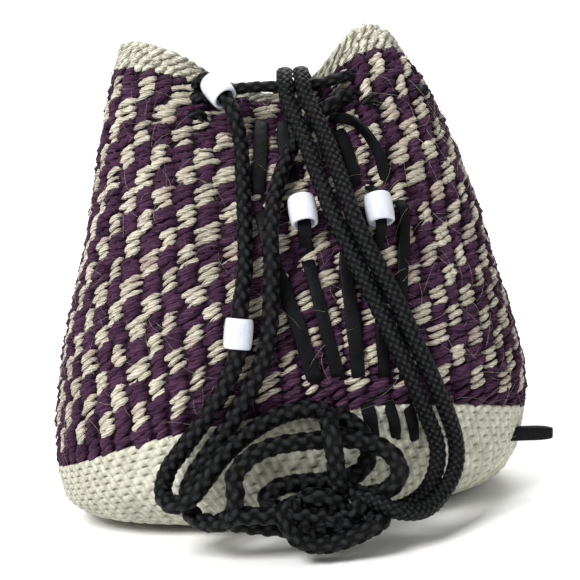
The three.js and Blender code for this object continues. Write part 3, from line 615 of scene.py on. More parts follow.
def ring_route():
    """Route of the held part: from the mouth bead in at the left, round inside the top, out at the right,
    across the front and in again at the left."""
    point, normal, _ = wall_frame(RING_LEVEL, np.radians(np.arange(*RING_TURN)))
    inside = point - RING_INSET * normal
    before = [along_bead(BEAD_MOUTH, -GAP), along_bead(BEAD_MOUTH, -8.4), (-26.4, -30.6, 201.2),
              (-28.8, -26, 199.8), (-31.5, -20.8, 197.4), (-37, -14.5, 196), (-47, -11.5, 194)]
    after = [(45, -15, 196), (39.5, -24, 197), (33, -29.5, 195.8), (24, -30.4, 194.4), (13, -30, 193.8),
             (2, -29.8, 195), (-10, -29.5, 195.3), (-20, -28.8, 194.6), (-28, -26.8, 193),
             (-36, -21, 190.5), (-42, -13, 188)]
    return np.vstack([np.array(before, float), inside, np.array(after, float)])


# Laces by name: width, then rows of level, x, height of the lace's middle above the outer face, negative
# where it runs under the twining, and twist in degrees.
LACES = {
    "lace_1": (6.5, [
        (197, -2, UNDER, 0), (191, -3, OVER, 0), (170, -4, OVER, 0), (152, -6, OVER, 0),
        (145, -6, UNDER, 0), (140, -6, UNDER, 0), (133, -5, OVER, 0), (109, -2, OVER, 0), (96, 1, OVER, 0),
        (73, 6, OVER, 0), (51, 10, OVER, 0), (44, 12, UNDER, 0), (39, 13, UNDER, 0)]),
    "lace_2": (5.5, [
        (197, 7, UNDER, 0), (191, 7, OVER, 0), (173, 7, OVER, 0), (157, 9, OVER, 0), (151, 10, UNDER, 0),
        (147, 10.5, -1.5, 0), (143.5, 11, 3, 0), (140, 11.3, 6.7, 0), (136, 11.6, ON_BEAD, 0),
        (131, 12, ON_BEAD, 0), (126, 12, ON_BEAD, 0), (122, 12, 6.7, 0), (118.5, 12, 3, 0),
        (115, 12, -1.5, 0), (111, 12, UNDER, 0), (105, 12.8, OVER, 0), (96, 14, OVER, 0), (73, 17, OVER, 0),
        (51, 20, OVER, 0), (44, 21, UNDER, 0), (38, 22, UNDER, 0), (31, 22, OVER, 0), (27, 22, OVER, 0),
        (21, 23, UNDER, 0), (18, 23, UNDER, 0)]),
    "lace_3": (6.0, [
        (180, 30, UNDER, 0), (174, 32, OVER, 0), (164, 34, OVER, 0), (150, 35.5, OVER, 0),
        (143, 35.5, UNDER, 0), (138, 35, UNDER, 0), (131, 34, OVER, 0), (117, 31, OVER, 0),
        (106, 28, OVER, 0), (83, 28.5, OVER, 0), (59, 29, OVER, 0), (50, 29, OVER, 0), (43, 30, UNDER, 0),
        (38, 31, UNDER, 0), (31, 32.5, OVER, 0), (26, 33, OVER, 0), (20, 34, UNDER, 0), (17, 34, UNDER, 0)]),
    "lace_4": (5.0, [
        (192, 26, UNDER, 0), (186, 30, 0.2, 0), (181, 34, 3.2, 30), (175, 38, 6.5, 70), (167, 42, 7, 75),
        (157, 46, 5.5, 45), (150, 48.5, 1.8, 10), (144, 51, UNDER, 0), (138, 53.5, UNDER, 0),
        (131, 55.5, OVER, 0), (115, 54, OVER, 0), (92, 51, OVER, 0), (63, 49, OVER, 0), (49, 49, OVER, 0),
        (42, 49, UNDER, 0), (37, 49.5, UNDER, 0), (30, 50, OVER, 0), (25, 51, OVER, 0), (19, 52, UNDER, 0),
        (16, 52, UNDER, 0)]),
    "lace_5": (5.0, [
        (148, 42, UNDER, 0), (145, 42.2, -1.5, 0), (141.5, 42.3, 3, 0), (138, 42.4, 6.7, 0),
        (134, 42.6, ON_BEAD, 0), (129, 42.8, ON_BEAD, 0), (124, 43, ON_BEAD, 0), (120, 43, 6.7, 0),
        (116.5, 43, 3, 0), (113, 43, -1.5, 0), (109, 43, UNDER, 0), (103, 42.5, OVER, 0), (90, 41, OVER, 0),
        (64, 40, OVER, 0), (50, 40, OVER, 0), (43, 40, UNDER, 0), (38, 40.5, UNDER, 0), (31, 42, OVER, 0),
        (26, 43, OVER, 0), (20, 44, UNDER, 0), (17, 44, UNDER, 0)]),
}
LACE_BEADS = {"bead_lace_left": ("lace_2", 9), "bead_lace_right": ("lace_5", 5)}


def lace_points(rows):
    """Middle line of a lace: points of the front wall moved out by the height in their rows."""
    table = np.array(rows, float)
    point, normal, _ = wall_frame(table[:, 0], front_angle(table[:, 0], table[:, 1]))
    return point + normal * table[:, 2:3]


# Materials
FIBRE_STRETCH, RIDGE_HEIGHT, STREAK_HEIGHT = 0.35, 0.6, 0.8
DYED_SHARE = 0.75

# Sisal: colour of the painted shade in the grooves between the plies, painted shade where a strand dives,
# share that the dye has stained, gloss, fuzz, and the two heights of the relief between which the painted
# shade fades out.
CREAM_LOOK = {
    "painted_groove_shade": (0.70, 0.66, 0.52), "depth": (0.7, 0.67, 0.6), "stained": 0.0, "gloss": 0.3, "fuzz": 0.0,
    "dive": (0.4, 0.9)}
FOOT_LOOK = {**CREAM_LOOK, "painted_groove_shade": (0.42, 0.40, 0.31), "depth": (0.5, 0.48, 0.43)}
CHECK_LOOK = {**CREAM_LOOK, "painted_groove_shade": (0.33, 0.27, 0.20), "depth": (0.36, 0.31, 0.30), "stained": 0.4}
PURPLE_LOOK = {
    "painted_groove_shade": (0.022, 0.0085, 0.021), "depth": (0.3, 0.27, 0.31), "stained": 0.3, "gloss": 0.06, "fuzz": 0.08,
    "dive": (0.62, 1.0)}
FUZZ_TINT = (0.42, 0.22, 0.40)
# Painted highlight on the crowns of the cords, rubbed leather, and the painted shade of the beads.
CORD_PAINTED_HIGHLIGHT, WORN_LEATHER, BEAD_PAINTED_SHADE = (0.03, 0.0325, 0.0345), (0.005, 0.0054, 0.0061), (0.54, 0.56, 0.63)


def feed(tree, value, socket):
    """Gives a socket a number, a colour or a link from another socket."""
    if isinstance(value, bpy.types.NodeSocket):
        tree.links.new(value, socket)
    elif isinstance(value, (int, float)):
        socket.default_value = value
    else:
        socket.default_value = (*value[:3], 1.0)


def feed_all(tree, node, values):
    """Gives several inputs of a node their values, by name."""
    for label, value in values.items():
        feed(tree, value, node.inputs[label])


def new_group(name, inputs, outputs):
    """Shader node group of float sockets: inputs with their defaults, and outputs."""
    group = bpy.data.node_groups.new(name, "ShaderNodeTree")
    for label, default in inputs.items():
        socket = group.interface.new_socket(label, in_out="INPUT", socket_type="NodeSocketFloat")
        socket.default_value = default
    for label in outputs:
        group.interface.new_socket(label, in_out="OUTPUT", socket_type="NodeSocketFloat")
    return group, group.nodes.new("NodeGroupInput"), group.nodes.new("NodeGroupOutput")


def math_node(tree, operation, a, b=0.0, clamp=False):
    """One Math node, its inputs linked from sockets or set from numbers."""
    node = tree.nodes.new("ShaderNodeMath")
    node.operation = operation
    node.use_clamp = clamp
    feed(tree, a, node.inputs[0])
    feed(tree, b, node.inputs[1])
    return node.outputs[0]


def mix_colour(tree, factor, a, b, blend="MIX"):
    """One colour Mix node, with colours linked or set."""
    node = tree.nodes.new("ShaderNodeMix")
    node.data_type = "RGBA"
    node.blend_type = blend
    for index, value in ((0, factor), (6, a), (7, b)):
        feed(tree, value, node.inputs[index])
    return node.outputs[2]


def shaded(tree, colour, factor, dark, light):
    """Colour multiplied by a shade between dark and light."""
    return mix_colour(tree, 1.0, colour, mix_colour(tree, factor, dark, light), "MULTIPLY")


def grey(value):
    """Neutral colour of one brightness."""
    return (value, value, value)


def noise_node(tree, vector, scale, detail, rough=0.5):
    """One Noise node on a vector."""
    node = tree.nodes.new("ShaderNodeTexNoise")
    feed_all(tree, node, {"Vector": vector, "Scale": scale, "Detail": detail, "Roughness": rough})
    return node.outputs["Fac"]


def map_range(tree, value, low, high, to_low=0.0, to_high=1.0):
    """One Map Range node: low and high become to_low and to_high, and nothing goes beyond them."""
    node = tree.nodes.new("ShaderNodeMapRange")
    ends = {"From Min": low, "From Max": high, "To Min": to_low, "To Max": to_high}
    feed_all(tree, node, {"Value": value, **ends})
    return node.outputs["Result"]


def fibre_group():
    """Twisted fibre: ridges, the sine of a run that winds round the strand on its own map, with fine hairs
    stretched along them."""
    inputs = {"Turns per cm": 3.0, "Plies": 2.0, "Fibre scale": 8.0}
    group, source, sink = new_group("twisted_fibre", inputs, ("Height", "Groove", "Streak"))
    coord = group.nodes.new("ShaderNodeTexCoord")
    split = group.nodes.new("ShaderNodeSeparateXYZ")
    group.links.new(coord.outputs["UV"], split.inputs[0])
    turns = math_node(group, "MULTIPLY", split.outputs[0], source.outputs["Turns per cm"])
    plies = math_node(group, "MULTIPLY", split.outputs[1], source.outputs["Plies"])
    wind = math_node(group, "ADD", turns, plies)
    ridge = map_range(group, math_node(group, "SINE", math_node(group, "MULTIPLY", wind, 2 * math.pi)), -1, 1)
    join = group.nodes.new("ShaderNodeCombineXYZ")
    group.links.new(math_node(group, "MULTIPLY", split.outputs[0], FIBRE_STRETCH), join.inputs[0])
    group.links.new(wind, join.inputs[1])
    scaled = group.nodes.new("ShaderNodeVectorMath")
    scaled.operation = "SCALE"
    group.links.new(join.outputs[0], scaled.inputs[0])
    group.links.new(source.outputs["Fibre scale"], scaled.inputs["Scale"])
    streak = noise_node(group, scaled.outputs[0], 1.0, 4.0, 0.65)
    ridges = math_node(group, "MULTIPLY", ridge, RIDGE_HEIGHT)
    height = math_node(group, "ADD", ridges, math_node(group, "MULTIPLY", streak, STREAK_HEIGHT))
    feed_all(group, sink, {"Height": height, "Groove": ridge, "Streak": streak})
    return group


def mottle_group():
    """Patches of lighter and darker colour over the piece, on object coordinates: one broad, one fine."""
    group, source, sink = new_group("mottle", {"Broad size": 22.0, "Fine size": 180.0}, ("Broad", "Fine"))
    coord = group.nodes.new("ShaderNodeTexCoord")
    for label in ("Broad", "Fine"):
        noise = noise_node(group, coord.outputs["Object"], source.outputs[label + " size"], 3.0)
        group.links.new(map_range(group, noise, 0.3, 0.7), sink.inputs[label])
    return group


GROUPS = {}


def effect(tree, name, maker, **values):
    """Places a shared effect in a material with its own values."""
    if name not in GROUPS:
        GROUPS[name] = maker()
    node = tree.nodes.new("ShaderNodeGroup")
    node.node_tree = GROUPS[name]
    for key, value in values.items():
        node.inputs[key.replace("_", " ")].default_value = value
    return node


def new_material(name):
    """Material with its node tree and its shader."""
    material = bpy.data.materials.new(name)
    material.use_nodes = True
    tree = material.node_tree
    return material, tree, tree.nodes["Principled BSDF"]


def add_bump(tree, shader, height, strength, distance):
    """Bump on a shader from a height."""
    bump = tree.nodes.new("ShaderNodeBump")
    feed_all(tree, bump, {"Strength": strength, "Distance": distance, "Height": height})
    tree.links.new(bump.outputs["Normal"], shader.inputs["Normal"])


def relief_node(tree):
    """Height of the strand or braid at each vertex, as stored with the mesh."""
    node = tree.nodes.new("ShaderNodeAttribute")
    node.attribute_name = "relief"
    return node.outputs["Fac"]


def sisal_material(name, light, dark, stain, painted_groove_shade, depth, stained, gloss, fuzz, dive):
    """Twisted sisal: light and dark fibres, painted shade in the grooves between the plies and where the strand
    dives, broad lighter and darker stretches, patches stained by the dye next to it, and a soft sheen of fuzz."""
    material, tree, shader = new_material(name)
    fibre = effect(tree, "fibre", fibre_group, Turns_per_cm=2.5, Plies=6.0, Fibre_scale=2.6)
    mottle = effect(tree, "mottle", mottle_group, Broad_size=26.0, Fine_size=210.0)
    patch = effect(tree, "mottle", mottle_group, Broad_size=75.0, Fine_size=330.0)
    streak = fibre.outputs["Streak"]
    colour = mix_colour(tree, map_range(tree, streak, 0.35, 0.65), dark, light)
    # Painted shade in the grooves between the plies.
    colour = mix_colour(tree, map_range(tree, fibre.outputs["Groove"], 0.0, 0.45, 0.5, 0.0), colour, painted_groove_shade)
    dyed = map_range(tree, patch.outputs["Broad"], 1.0 - stained, 1.0)
    colour = mix_colour(tree, math_node(tree, "MULTIPLY", dyed, DYED_SHARE, True), colour, stain)
    colour = shaded(tree, colour, mottle.outputs["Broad"], (0.76, 0.75, 0.74), grey(1.08))
    colour = shaded(tree, colour, mottle.outputs["Fine"], grey(0.82), grey(1.08))
    # Painted shade where the strand dives, from the relief stored with the mesh.
    colour = shaded(tree, colour, map_range(tree, relief_node(tree), *dive), depth, grey(1.0))
    feed_all(tree, shader, {
        "Base Color": colour,
        "Roughness": map_range(tree, streak, 0.2, 0.8, 0.95, 0.68),
        "Specular IOR Level": gloss,
        "Sheen Weight": fuzz,
        "Sheen Tint": FUZZ_TINT,
    })
    add_bump(tree, shader, fibre.outputs["Height"], 1.0, 0.0011)
    return material


def cord_material(name, colour, light):
    """Braided synthetic cord: black, with a painted highlight on the crowns of its strands."""
    material, tree, shader = new_material(name)
    fibre = effect(tree, "fibre", fibre_group, Turns_per_cm=9.0, Plies=3.0, Fibre_scale=10.0)
    mottle = effect(tree, "mottle", mottle_group, Broad_size=40.0, Fine_size=420.0)
    streak = fibre.outputs["Streak"]
    # Painted highlight on the crowns of the braid, from its stored relief and streaks.
    crown = math_node(tree, "MULTIPLY", map_range(tree, relief_node(tree), 0.66, 1.0),
                      map_range(tree, streak, 0.3, 0.7, 0.25, 1.0))
    mixed = mix_colour(tree, crown, colour, light)
    feed_all(tree, shader, {
        "Base Color": shaded(tree, mixed, mottle.outputs["Fine"], grey(0.75), grey(1.2)),
        "Roughness": map_range(tree, mottle.outputs["Broad"], 0, 1, 0.34, 0.5),
        "Specular IOR Level": 0.11,
    })
    add_bump(tree, shader, streak, 0.7, 0.0004)
    return material


def leather_material(name, colour, worn):
    """Thin dyed leather: fine pebbled grain, paler where it is rubbed."""
    material, tree, shader = new_material(name)
    mottle = effect(tree, "mottle", mottle_group, Broad_size=60.0, Fine_size=600.0)
    coord = tree.nodes.new("ShaderNodeTexCoord")
    cells = tree.nodes.new("ShaderNodeTexVoronoi")
    feed_all(tree, cells, {"Vector": coord.outputs["Object"], "Scale": 1300.0})
    feed_all(tree, shader, {
        "Base Color": mix_colour(tree, map_range(tree, mottle.outputs["Broad"], 0.35, 1.0), colour, worn),
        "Roughness": map_range(tree, mottle.outputs["Fine"], 0, 1, 0.42, 0.62),
        "Specular IOR Level": 0.09,
    })
    height = math_node(tree, "ADD", cells.outputs["Distance"], mottle.outputs["Fine"])
    add_bump(tree, shader, height, 0.3, 0.0002)
    return material


def bead_material(name, colour, painted_shade):
    """Glossy white plastic with painted bluish-grey shade laid in broad random patches, and small handling marks."""
    material, tree, shader = new_material(name)
    mottle = effect(tree, "mottle", mottle_group, Broad_size=90.0, Fine_size=900.0)
    feed_all(tree, shader, {
        # Painted shade, mixed in by broad noise.
        "Base Color": mix_colour(tree, mottle.outputs["Broad"], painted_shade, colour),
        "Roughness": map_range(tree, mottle.outputs["Fine"], 0, 1, 0.16, 0.32),
        "Coat Weight": 0.4,
        "Coat Roughness": 0.12,
        "Subsurface Weight": 0.08,
    })
    shader.inputs["Subsurface Radius"].default_value = grey(0.004)
    add_bump(tree, shader, mottle.outputs["Fine"], 0.04, 0.0002)
    return material


def stage_material(name, colour):
    """Plain pale paper with a faint tooth."""
    material, tree, shader = new_material(name)
    mottle = effect(tree, "mottle", mottle_group, Broad_size=1.2, Fine_size=260.0)
    darker = tuple(c * 0.985 for c in colour[:3])
    paper = mix_colour(tree, mottle.outputs["Fine"], darker, colour)
    feed_all(tree, shader, {"Base Color": paper, "Roughness": 0.9})
    return material


# Sizes and colours


def length_prop(name, description, default):
    """Length in metres."""
    return FloatProperty(name=name, description=description, default=default, min=0.0, precision=5,
                         unit="LENGTH")


def colour_prop(name, description, default):
    """Colour in linear light."""
    return FloatVectorProperty(name=name, description=description, default=default, size=3, subtype="COLOR",
                               min=0, max=1)


def power_prop(name, description, default):
    """Power of a light in watts."""
    return FloatProperty(name=name, description=description, default=default, unit="POWER")


def angle_prop(name, description, degrees):
    """Angle whose default is given in degrees."""
    return FloatProperty(name=name, description=description, default=math.radians(degrees), subtype="ANGLE")


class BagTwine(bpy.types.PropertyGroup):
    """Sizes of the twining and numbers of hairs"""
    stitch: length_prop("Stitch", "Length of one stitch of the checked body", 0.0097)
    base_stitch: length_prop("Foot stitch", "Length of one stitch of the plain foot", 0.0074)
    rim_stitch: length_prop("Rim stitch", "Length of one stitch of the plain rim", 0.0052)
    swing: length_prop("Swing", "How far a strand swings out from the middle of the wall", 0.0014)
    depth: length_prop("Wall depth", "Depth of the middle of the wall below its outer face", 0.0024)
    hairs: IntProperty(name="Loose hairs", description="Number of pale stray fibres", default=750, min=0)
    fuzz: IntProperty(name="Fuzz", description="Number of short dyed fibres on the body", default=7000, min=0)
    seed: IntProperty(name="Seed", description="Seed of the hand-made unevenness", default=7, min=0)


class BagCords(bpy.types.PropertyGroup):
    """Sizes of cords and laces"""
    drawstring: length_prop("Drawstring", "Diameter of the drawstring", 0.0068)
    held: length_prop("Held part", "Diameter of the drawstring where it is drawn tight in the mouth", 0.0054)
    strap: length_prop("Strap", "Diameter of the strap cord", 0.0066)
    relief: length_prop("Braid relief", "Height of the braid's strands above the grooves", 0.0016)
    lace: length_prop("Lace thickness", "Thickness of the leather laces", 0.0016)


class BagColours(bpy.types.PropertyGroup):
    """Colours of the materials"""
    cream: colour_prop("Cream", "Undyed sisal of the rim, light fibres", (0.93, 0.92, 0.79))
    cream_dark: colour_prop("Cream shade", "Undyed sisal of the rim, dark fibres", (0.80, 0.77, 0.62))
    # The foot's colours are the same undyed cream as the rim's, painted darker as shade.
    foot: colour_prop("Foot", "Undyed sisal of the foot, light fibres", (0.72, 0.725, 0.62))
    foot_dark: colour_prop("Foot shade", "Undyed sisal of the foot, dark fibres", (0.57, 0.56, 0.45))
    check: colour_prop("Check", "Undyed sisal of the body, light fibres", (0.90, 0.86, 0.73))
    check_dark: colour_prop("Check shade", "Undyed sisal of the body, dark fibres", (0.57, 0.50, 0.38))
    stain: colour_prop("Dye stain", "Undyed sisal where the dye has run", (0.40, 0.25, 0.25))
    purple: colour_prop("Purple", "Dyed sisal, light fibres", (0.128, 0.056, 0.108))
    purple_dark: colour_prop("Purple shade", "Dyed sisal, dark fibres", (0.034, 0.0135, 0.032))
    cord: colour_prop("Cord", "Braided cord", (0.0006, 0.0007, 0.0008))
    leather: colour_prop("Leather", "Laces and side tab", (0.0019, 0.0021, 0.0025))
    bead: colour_prop("Bead", "Barrel beads", (0.63, 0.65, 0.71))
    floor: colour_prop("Floor", "Studio floor", (0.93, 0.93, 0.93))


class BagStage(bpy.types.PropertyGroup):
    """Camera and lights"""
    distance: length_prop("Camera distance", "Distance from the camera to the point it looks at", 0.66)
    elevation: angle_prop("Camera height", "Angle of the camera above the horizon", 6)
    roll: angle_prop("Camera roll", "Turn of the camera about its line of sight", 5)
    frame_width: length_prop("Frame width", "Width of the picture at the point it looks at", 0.2755)
    key: power_prop("Key light", "Power of the large soft light", 34.0)
    fill: power_prop("Fill light", "Power of the light from the right", 3.5)
    rear: power_prop("Rear light", "Power of the light from behind and above", 14.0)
    backdrop: power_prop("Backdrop light", "Power of the light on the back wall", 70.0)
    world: FloatProperty(name="Sky", description="Strength of the even light all round", default=0.34)


MATERIALS = {}


def material(name):
    """The bag's materials, each made once from the panel's colours."""
    if name in MATERIALS:
        return MATERIALS[name]
    c = bpy.context.scene.bag_colours
    makers = {
        "sisal_cream": lambda: sisal_material(name, c.cream, c.cream_dark, c.stain, **CREAM_LOOK),
        "sisal_foot": lambda: sisal_material(name, c.foot, c.foot_dark, c.stain, **FOOT_LOOK),
        "sisal_check": lambda: sisal_material(name, c.check, c.check_dark, c.stain, **CHECK_LOOK),
        "sisal_purple": lambda: sisal_material(name, c.purple, c.purple_dark, c.purple_dark, **PURPLE_LOOK),
        "cord_black": lambda: cord_material(name, c.cord, CORD_PAINTED_HIGHLIGHT),
        "leather_black": lambda: leather_material(name, c.leather, WORN_LEATHER),
        "bead_white": lambda: bead_material(name, c.bead, BEAD_PAINTED_SHADE),
        "studio_floor": lambda: stage_material(name, c.floor),
    }
    MATERIALS[name] = makers[name]()
    return MATERIALS[name]


def unevenness(rng, group, signed, length, waves, size):
    """Slow hand-made unevenness along each row: a few sine waves that close round the row, with seeded phases
    that the rows of a group share."""
    turn = 2 * np.pi * signed / length[:, None]
    total = np.zeros(signed.shape)
    for wave in waves:
        total = total + np.sin(wave * turn + rng.uniform(0, 2 * np.pi, group[-1] + 1)[group][:, None])
    return size * total / math.sqrt(len(waves))


def twined_band(levels, samples, stitch, rng, twine, shifts, looks, group):
    """Both strands of a band of twined rows, as two sets of tubes with their relief, and their runs. Looks
    has the share, width, taper and roughness of each strand; the rows of a group wander together."""
    point, normal, up, spacing, signed, length = row_frames(levels, samples, twine.depth / MM)
    each = np.arange(len(levels))

    def wander(rows, waves, size):
        """Unevenness of this band."""
        return unevenness(rng, rows, signed, length, waves, size)

    point = point + up * wander(each, *HEIGHT_WANDER)[..., None]
    phase = twist_phase(signed, length, stitch) + np.pi * shifts[:, None]
    phase = phase + rng.normal(0, START_SCATTER, (len(levels), 1))
    phase = phase + wander(group, *CHECK_WANDER)
    phase = phase + wander(each, *STITCH_WANDER)
    frames = (point, normal, up, spacing)
    strands = []
    for half, (share, width, taper, rough) in zip((0.0, np.pi), looks):
        look = (share + wander(each, *SHARE_WANDER), width, taper)
        wobble = 1 + wander(each, *WIDTH_WANDER)
        swing = twine.swing / MM + wander(each, *SWING_WANDER)
        surface = rng.normal(0, rough, (*signed.shape, STRAND_SIDES)).clip(-ROUGH_LIMIT, ROUGH_LIMIT)
        strands.append(twined_strands(frames, phase + half, swing, look, wobble, surface))
    run = length[:, None] * np.arange(samples) / samples
    return strands, run


def add_shell(name, outer, inner, spacing, look, relief=None):
    """Band that closes round the bag, from an outer and an inner face of levels x turns points, with the
    spacing of its map in millimetres."""
    shell = np.concatenate([outer, inner]).transpose(1, 0, 2)
    return add_tubes(name, shell[None], np.arange(len(shell)) * spacing, material(look), True, relief)


class BAG_OT_body(bpy.types.Operator):
    """Checked body: rows of a cream and a purple strand that twine round each other, three rows to a check"""
    bl_idname = "bag.body"
    bl_label = "Checked body"

    def execute(self, context):
        twine = context.scene.bag_twine
        rng = np.random.default_rng(twine.seed)
        row = np.arange(BODY_ROWS)
        levels = BASE_TOP + (RIM_FOOT - BASE_TOP) / BODY_ROWS * (row + 0.5)
        check = (row - PLAIN_ROWS) // CHECK_ROWS + 1
        strands, run = twined_band(
            levels, BODY_POINTS, twine.stitch / MM, rng, twine, check % 2, BODY_LOOKS, check)
        (cream, cream_relief), (purple, purple_relief) = strands
        plain = (row < PLAIN_ROWS) | (row == BODY_ROWS - 1)
        pale = add_tubes(
            "body_cream", cream[~plain], run[~plain], material("sisal_check"), True, cream_relief[~plain])
        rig.slot(pale, "sisal_cream")
        lower = row < BODY_ROWS // 2
        for name, part in (("body_purple_lower", lower), ("body_purple_upper", ~lower)):
            pair = part & plain
            tubes = np.concatenate([purple[part], cream[pair]])
            relief = np.concatenate([purple_relief[part], cream_relief[pair]])
            runs = np.concatenate([run[part], run[pair]])
            piece = add_tubes(name, tubes, runs, material("sisal_purple"), True, relief)
            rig.slot(piece, "sisal_purple")
        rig.replaces(piece, "woven_body")
        return {"FINISHED"}


class BAG_OT_plain(bpy.types.Operator):
    """Plain cream foot, tightly twined in low relief, and plain cream rim of looser rows"""
    bl_idname = "bag.plain"
    bl_label = "Plain foot and rim"

    def execute(self, context):
        twine = context.scene.bag_twine
        rng = np.random.default_rng(twine.seed + 1)
        self.add_foot(twine, rng)
        row = np.arange(RIM_ROWS)
        levels = RIM_FOOT + (RIM_CREST - RIM_FOOT) * (row + RIM_START) / RIM_ROWS
        strands, run = twined_band(
            levels, RIM_POINTS, twine.rim_stitch / MM, rng, twine, row * 0.5, RIM_LOOKS, row)
        tubes, relief = (np.concatenate([strands[0][k], strands[1][k]]) for k in (0, 1))
        rim = add_tubes("rim_cream", tubes, np.concatenate([run, run]), material("sisal_cream"), True, relief)
        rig.slot(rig.replaces(rim, "woven_rim"), "sisal_cream")
        return {"FINISHED"}

    def add_foot(self, twine, rng):
        """Shell of the foot. Its outer face follows the upper of two strands that twine along each row: a
        strand's height is the cosine of its turn plus a round across its width, and its middle climbs with
        the sine, so that the stitches are leaning ovals with a pit between their ends. The inner face is
        smooth."""
        place = np.linspace(0, FOOT_ROWS, FOOT_ROWS * FOOT_STEPS + 1)
        levels = FOOT_EDGE + (BASE_TOP - FOOT_EDGE) * (place / FOOT_ROWS) ** FOOT_CROWD
        point, normal, _, _, signed, length = row_frames(levels, FOOT_POINTS, 0.0)
        row = np.floor(place).clip(0, FOOT_ROWS - 1).astype(int)
        over = (place - row - 0.5)[:, None]
        middle = length[row * FOOT_STEPS + FOOT_STEPS // 2][:, None]
        count = 2 * np.round(middle / (2 * twine.base_stitch / MM))
        share = signed / length[:, None]
        shift = 0.5 * row + rng.normal(0, FOOT_SCATTER, FOOT_ROWS)[row]
        uneven = unevenness(
            rng, np.arange(FOOT_ROWS), share[:FOOT_ROWS], np.ones(FOOT_ROWS), *FOOT_WANDER)
        phase = np.pi * (share * count + shift[:, None]) + uneven[row]
        bump = np.zeros_like(phase)
        for side in (1, -1):
            turn = side * np.cos(phase)
            half = FOOT_HALF * (1 - FOOT_TAPER + FOOT_TAPER * turn.clip(0) ** CROWN_POWER)
            across = (over - FOOT_CLIMB * side * np.sin(phase)) / half
            high = FOOT_BASE + FOOT_SWING * turn + FOOT_ROUND * np.sqrt((1 - across**2).clip(0))
            bump = np.maximum(bump, np.where(np.abs(across) < 1, high, 0))
        outer = point + normal * (FOOT_RELIEF * (bump - FOOT_MIDDLE))[..., None]
        outer[..., 2] = outer[..., 2].clip(FOOT_LOWEST)
        inner = (point - normal * 2 * twine.depth / MM)[::-FOOT_INNER_STEP]
        inner[..., 2] = inner[..., 2].clip(FOOT_INSIDE)
        # Relief from the strands' height, painted as shade in the pits; the inner face gets a fixed part of the
        # painted shade.
        relief = FOOT_SHADE + (1 - FOOT_SHADE) * bump
        relief = np.concatenate([relief, np.full(inner.shape[:2], FOOT_INNER_SHADE)]).T[None]
        foot = add_shell("base_cream", outer, inner, FOOT_MAP, "sisal_foot", relief)
        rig.slot(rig.replaces(foot, "woven_base"), "sisal_cream")


class BAG_OT_core(bpy.types.Operator):
    """Warp core inside the twining, thin shells in the middle of the wall, and the floor of the bag"""
    bl_idname = "bag.core"
    bl_label = "Warp core and floor"

    def execute(self, context):
        angle = FRONT + full_turn(CORE_POINTS)
        depth = context.scene.bag_twine.depth / MM
        # These pieces store no relief, which reads as 0, so their sisal takes its full painted shade.
        for name, (low, high, count, look) in CORES.items():
            point, normal, _ = wall_frame(np.linspace(low, high, count)[:, None], angle[None])
            outer = point + normal * (CORE_HALF - depth)
            inner = (point - normal * (CORE_HALF + depth))[::-1]
            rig.slot(add_shell(name, outer, inner, CORE_MAP, look), look)
        self.add_floor(angle)
        return {"FINISHED"}

    def add_floor(self, angle):
        """Floor of the bag: the outline of the foot drawn in to the middle, with a ridge, the size of a sine,
        for each row above and below."""
        share = np.linspace(FLOOR_START, 1, FLOOR_STEPS)
        ridge = FLOOR_RIDGE * np.abs(np.sin(np.pi * share * FLOOR_ROWS))
        plan = wall(FLOOR_LEVEL, angle)[None, :, :2] * share[:, None, None]
        low, top = (np.dstack([plan, np.broadcast_to(z[:, None], plan.shape[:2])])
                    for z in (FLOOR_LOW - ridge, FLOOR_TOP + ridge))
        rings = np.concatenate([low, top[::-1]])
        floor = add_tubes("bag_floor", rings[None], np.arange(len(rings)) * FLOOR_MAP, material("sisal_foot"))
        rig.slot(floor, "sisal_cream")


class BAG_OT_hairs(bpy.types.Operator):
    """Stray fibres: long pale hairs that curl away from the twining, and short fuzz on rim and body"""
    bl_idname = "bag.hairs"
    bl_label = "Loose hairs"

    def execute(self, context):
        twine = context.scene.bag_twine
        rng = np.random.default_rng(twine.seed + 2)
        counts = (twine.hairs, twine.fuzz // RIM_FUZZ_PART, twine.fuzz)
        for (name, row), count in zip(HAIRS.items(), counts):
            self.add_hairs(name, count, *row, rng)
        return {"FINISHED"}

    def add_hairs(self, name, count, levels, steps, reach, curl, thick, look, rng):
        """Thin tapered tubes: each starts in the wall, runs on in a seeded direction, curls sideways with the
        square of its length and lifts in a low arch. Reach has the shape, scale and least value of the
        lengths."""
        level = rng.uniform(*levels, count)
        angle = rng.uniform(0, 2 * np.pi, count)
        point, normal, up = wall_frame(level, angle)
        side = np.cross(up, normal)
        heading = rng.uniform(0, 2 * np.pi, count)[:, None]
        ahead = side * np.cos(heading) + up * np.sin(heading)
        aside = up * np.cos(heading) - side * np.sin(heading)
        long = np.minimum(rng.gamma(reach[0], reach[1], count) + reach[2], LONGEST_HAIR)[:, None, None]
        bend = rng.normal(0, curl, count).clip(-1, 1)[:, None, None]
        lift = np.minimum(rng.gamma(*HAIR_LIFT, count), HAIR_CEILING)[:, None, None] * long
        arch = rng.uniform(*HAIR_ARCH, count)[:, None, None]
        t = np.linspace(0, 1, steps)[None, :, None]
        line = point[:, None] + long * (ahead[:, None] * t + aside[:, None] * bend * t**2)
        line = line + normal[:, None] * (lift * np.sin(np.pi * t * arch) - HAIR_ROOT)
        line[..., 2] = np.maximum(line[..., 2], HAIR_LOWEST)
        along = unit(np.gradient(line, axis=1))
        across = unit(np.cross(along, np.broadcast_to(normal[:, None], along.shape)))
        out = np.cross(across, along)
        psi = full_turn(HAIR_SIDES)
        ring = across[:, :, None] * np.cos(psi)[:, None] + out[:, :, None] * np.sin(psi)[:, None]
        rings = line[:, :, None] + ring * thick * (1 - HAIR_TAPER * t)[..., None]
        piece = add_tubes(name, rings, np.arange(steps), material(look), relief=np.ones(rings.shape[:3]))
        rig.slot(piece, look)


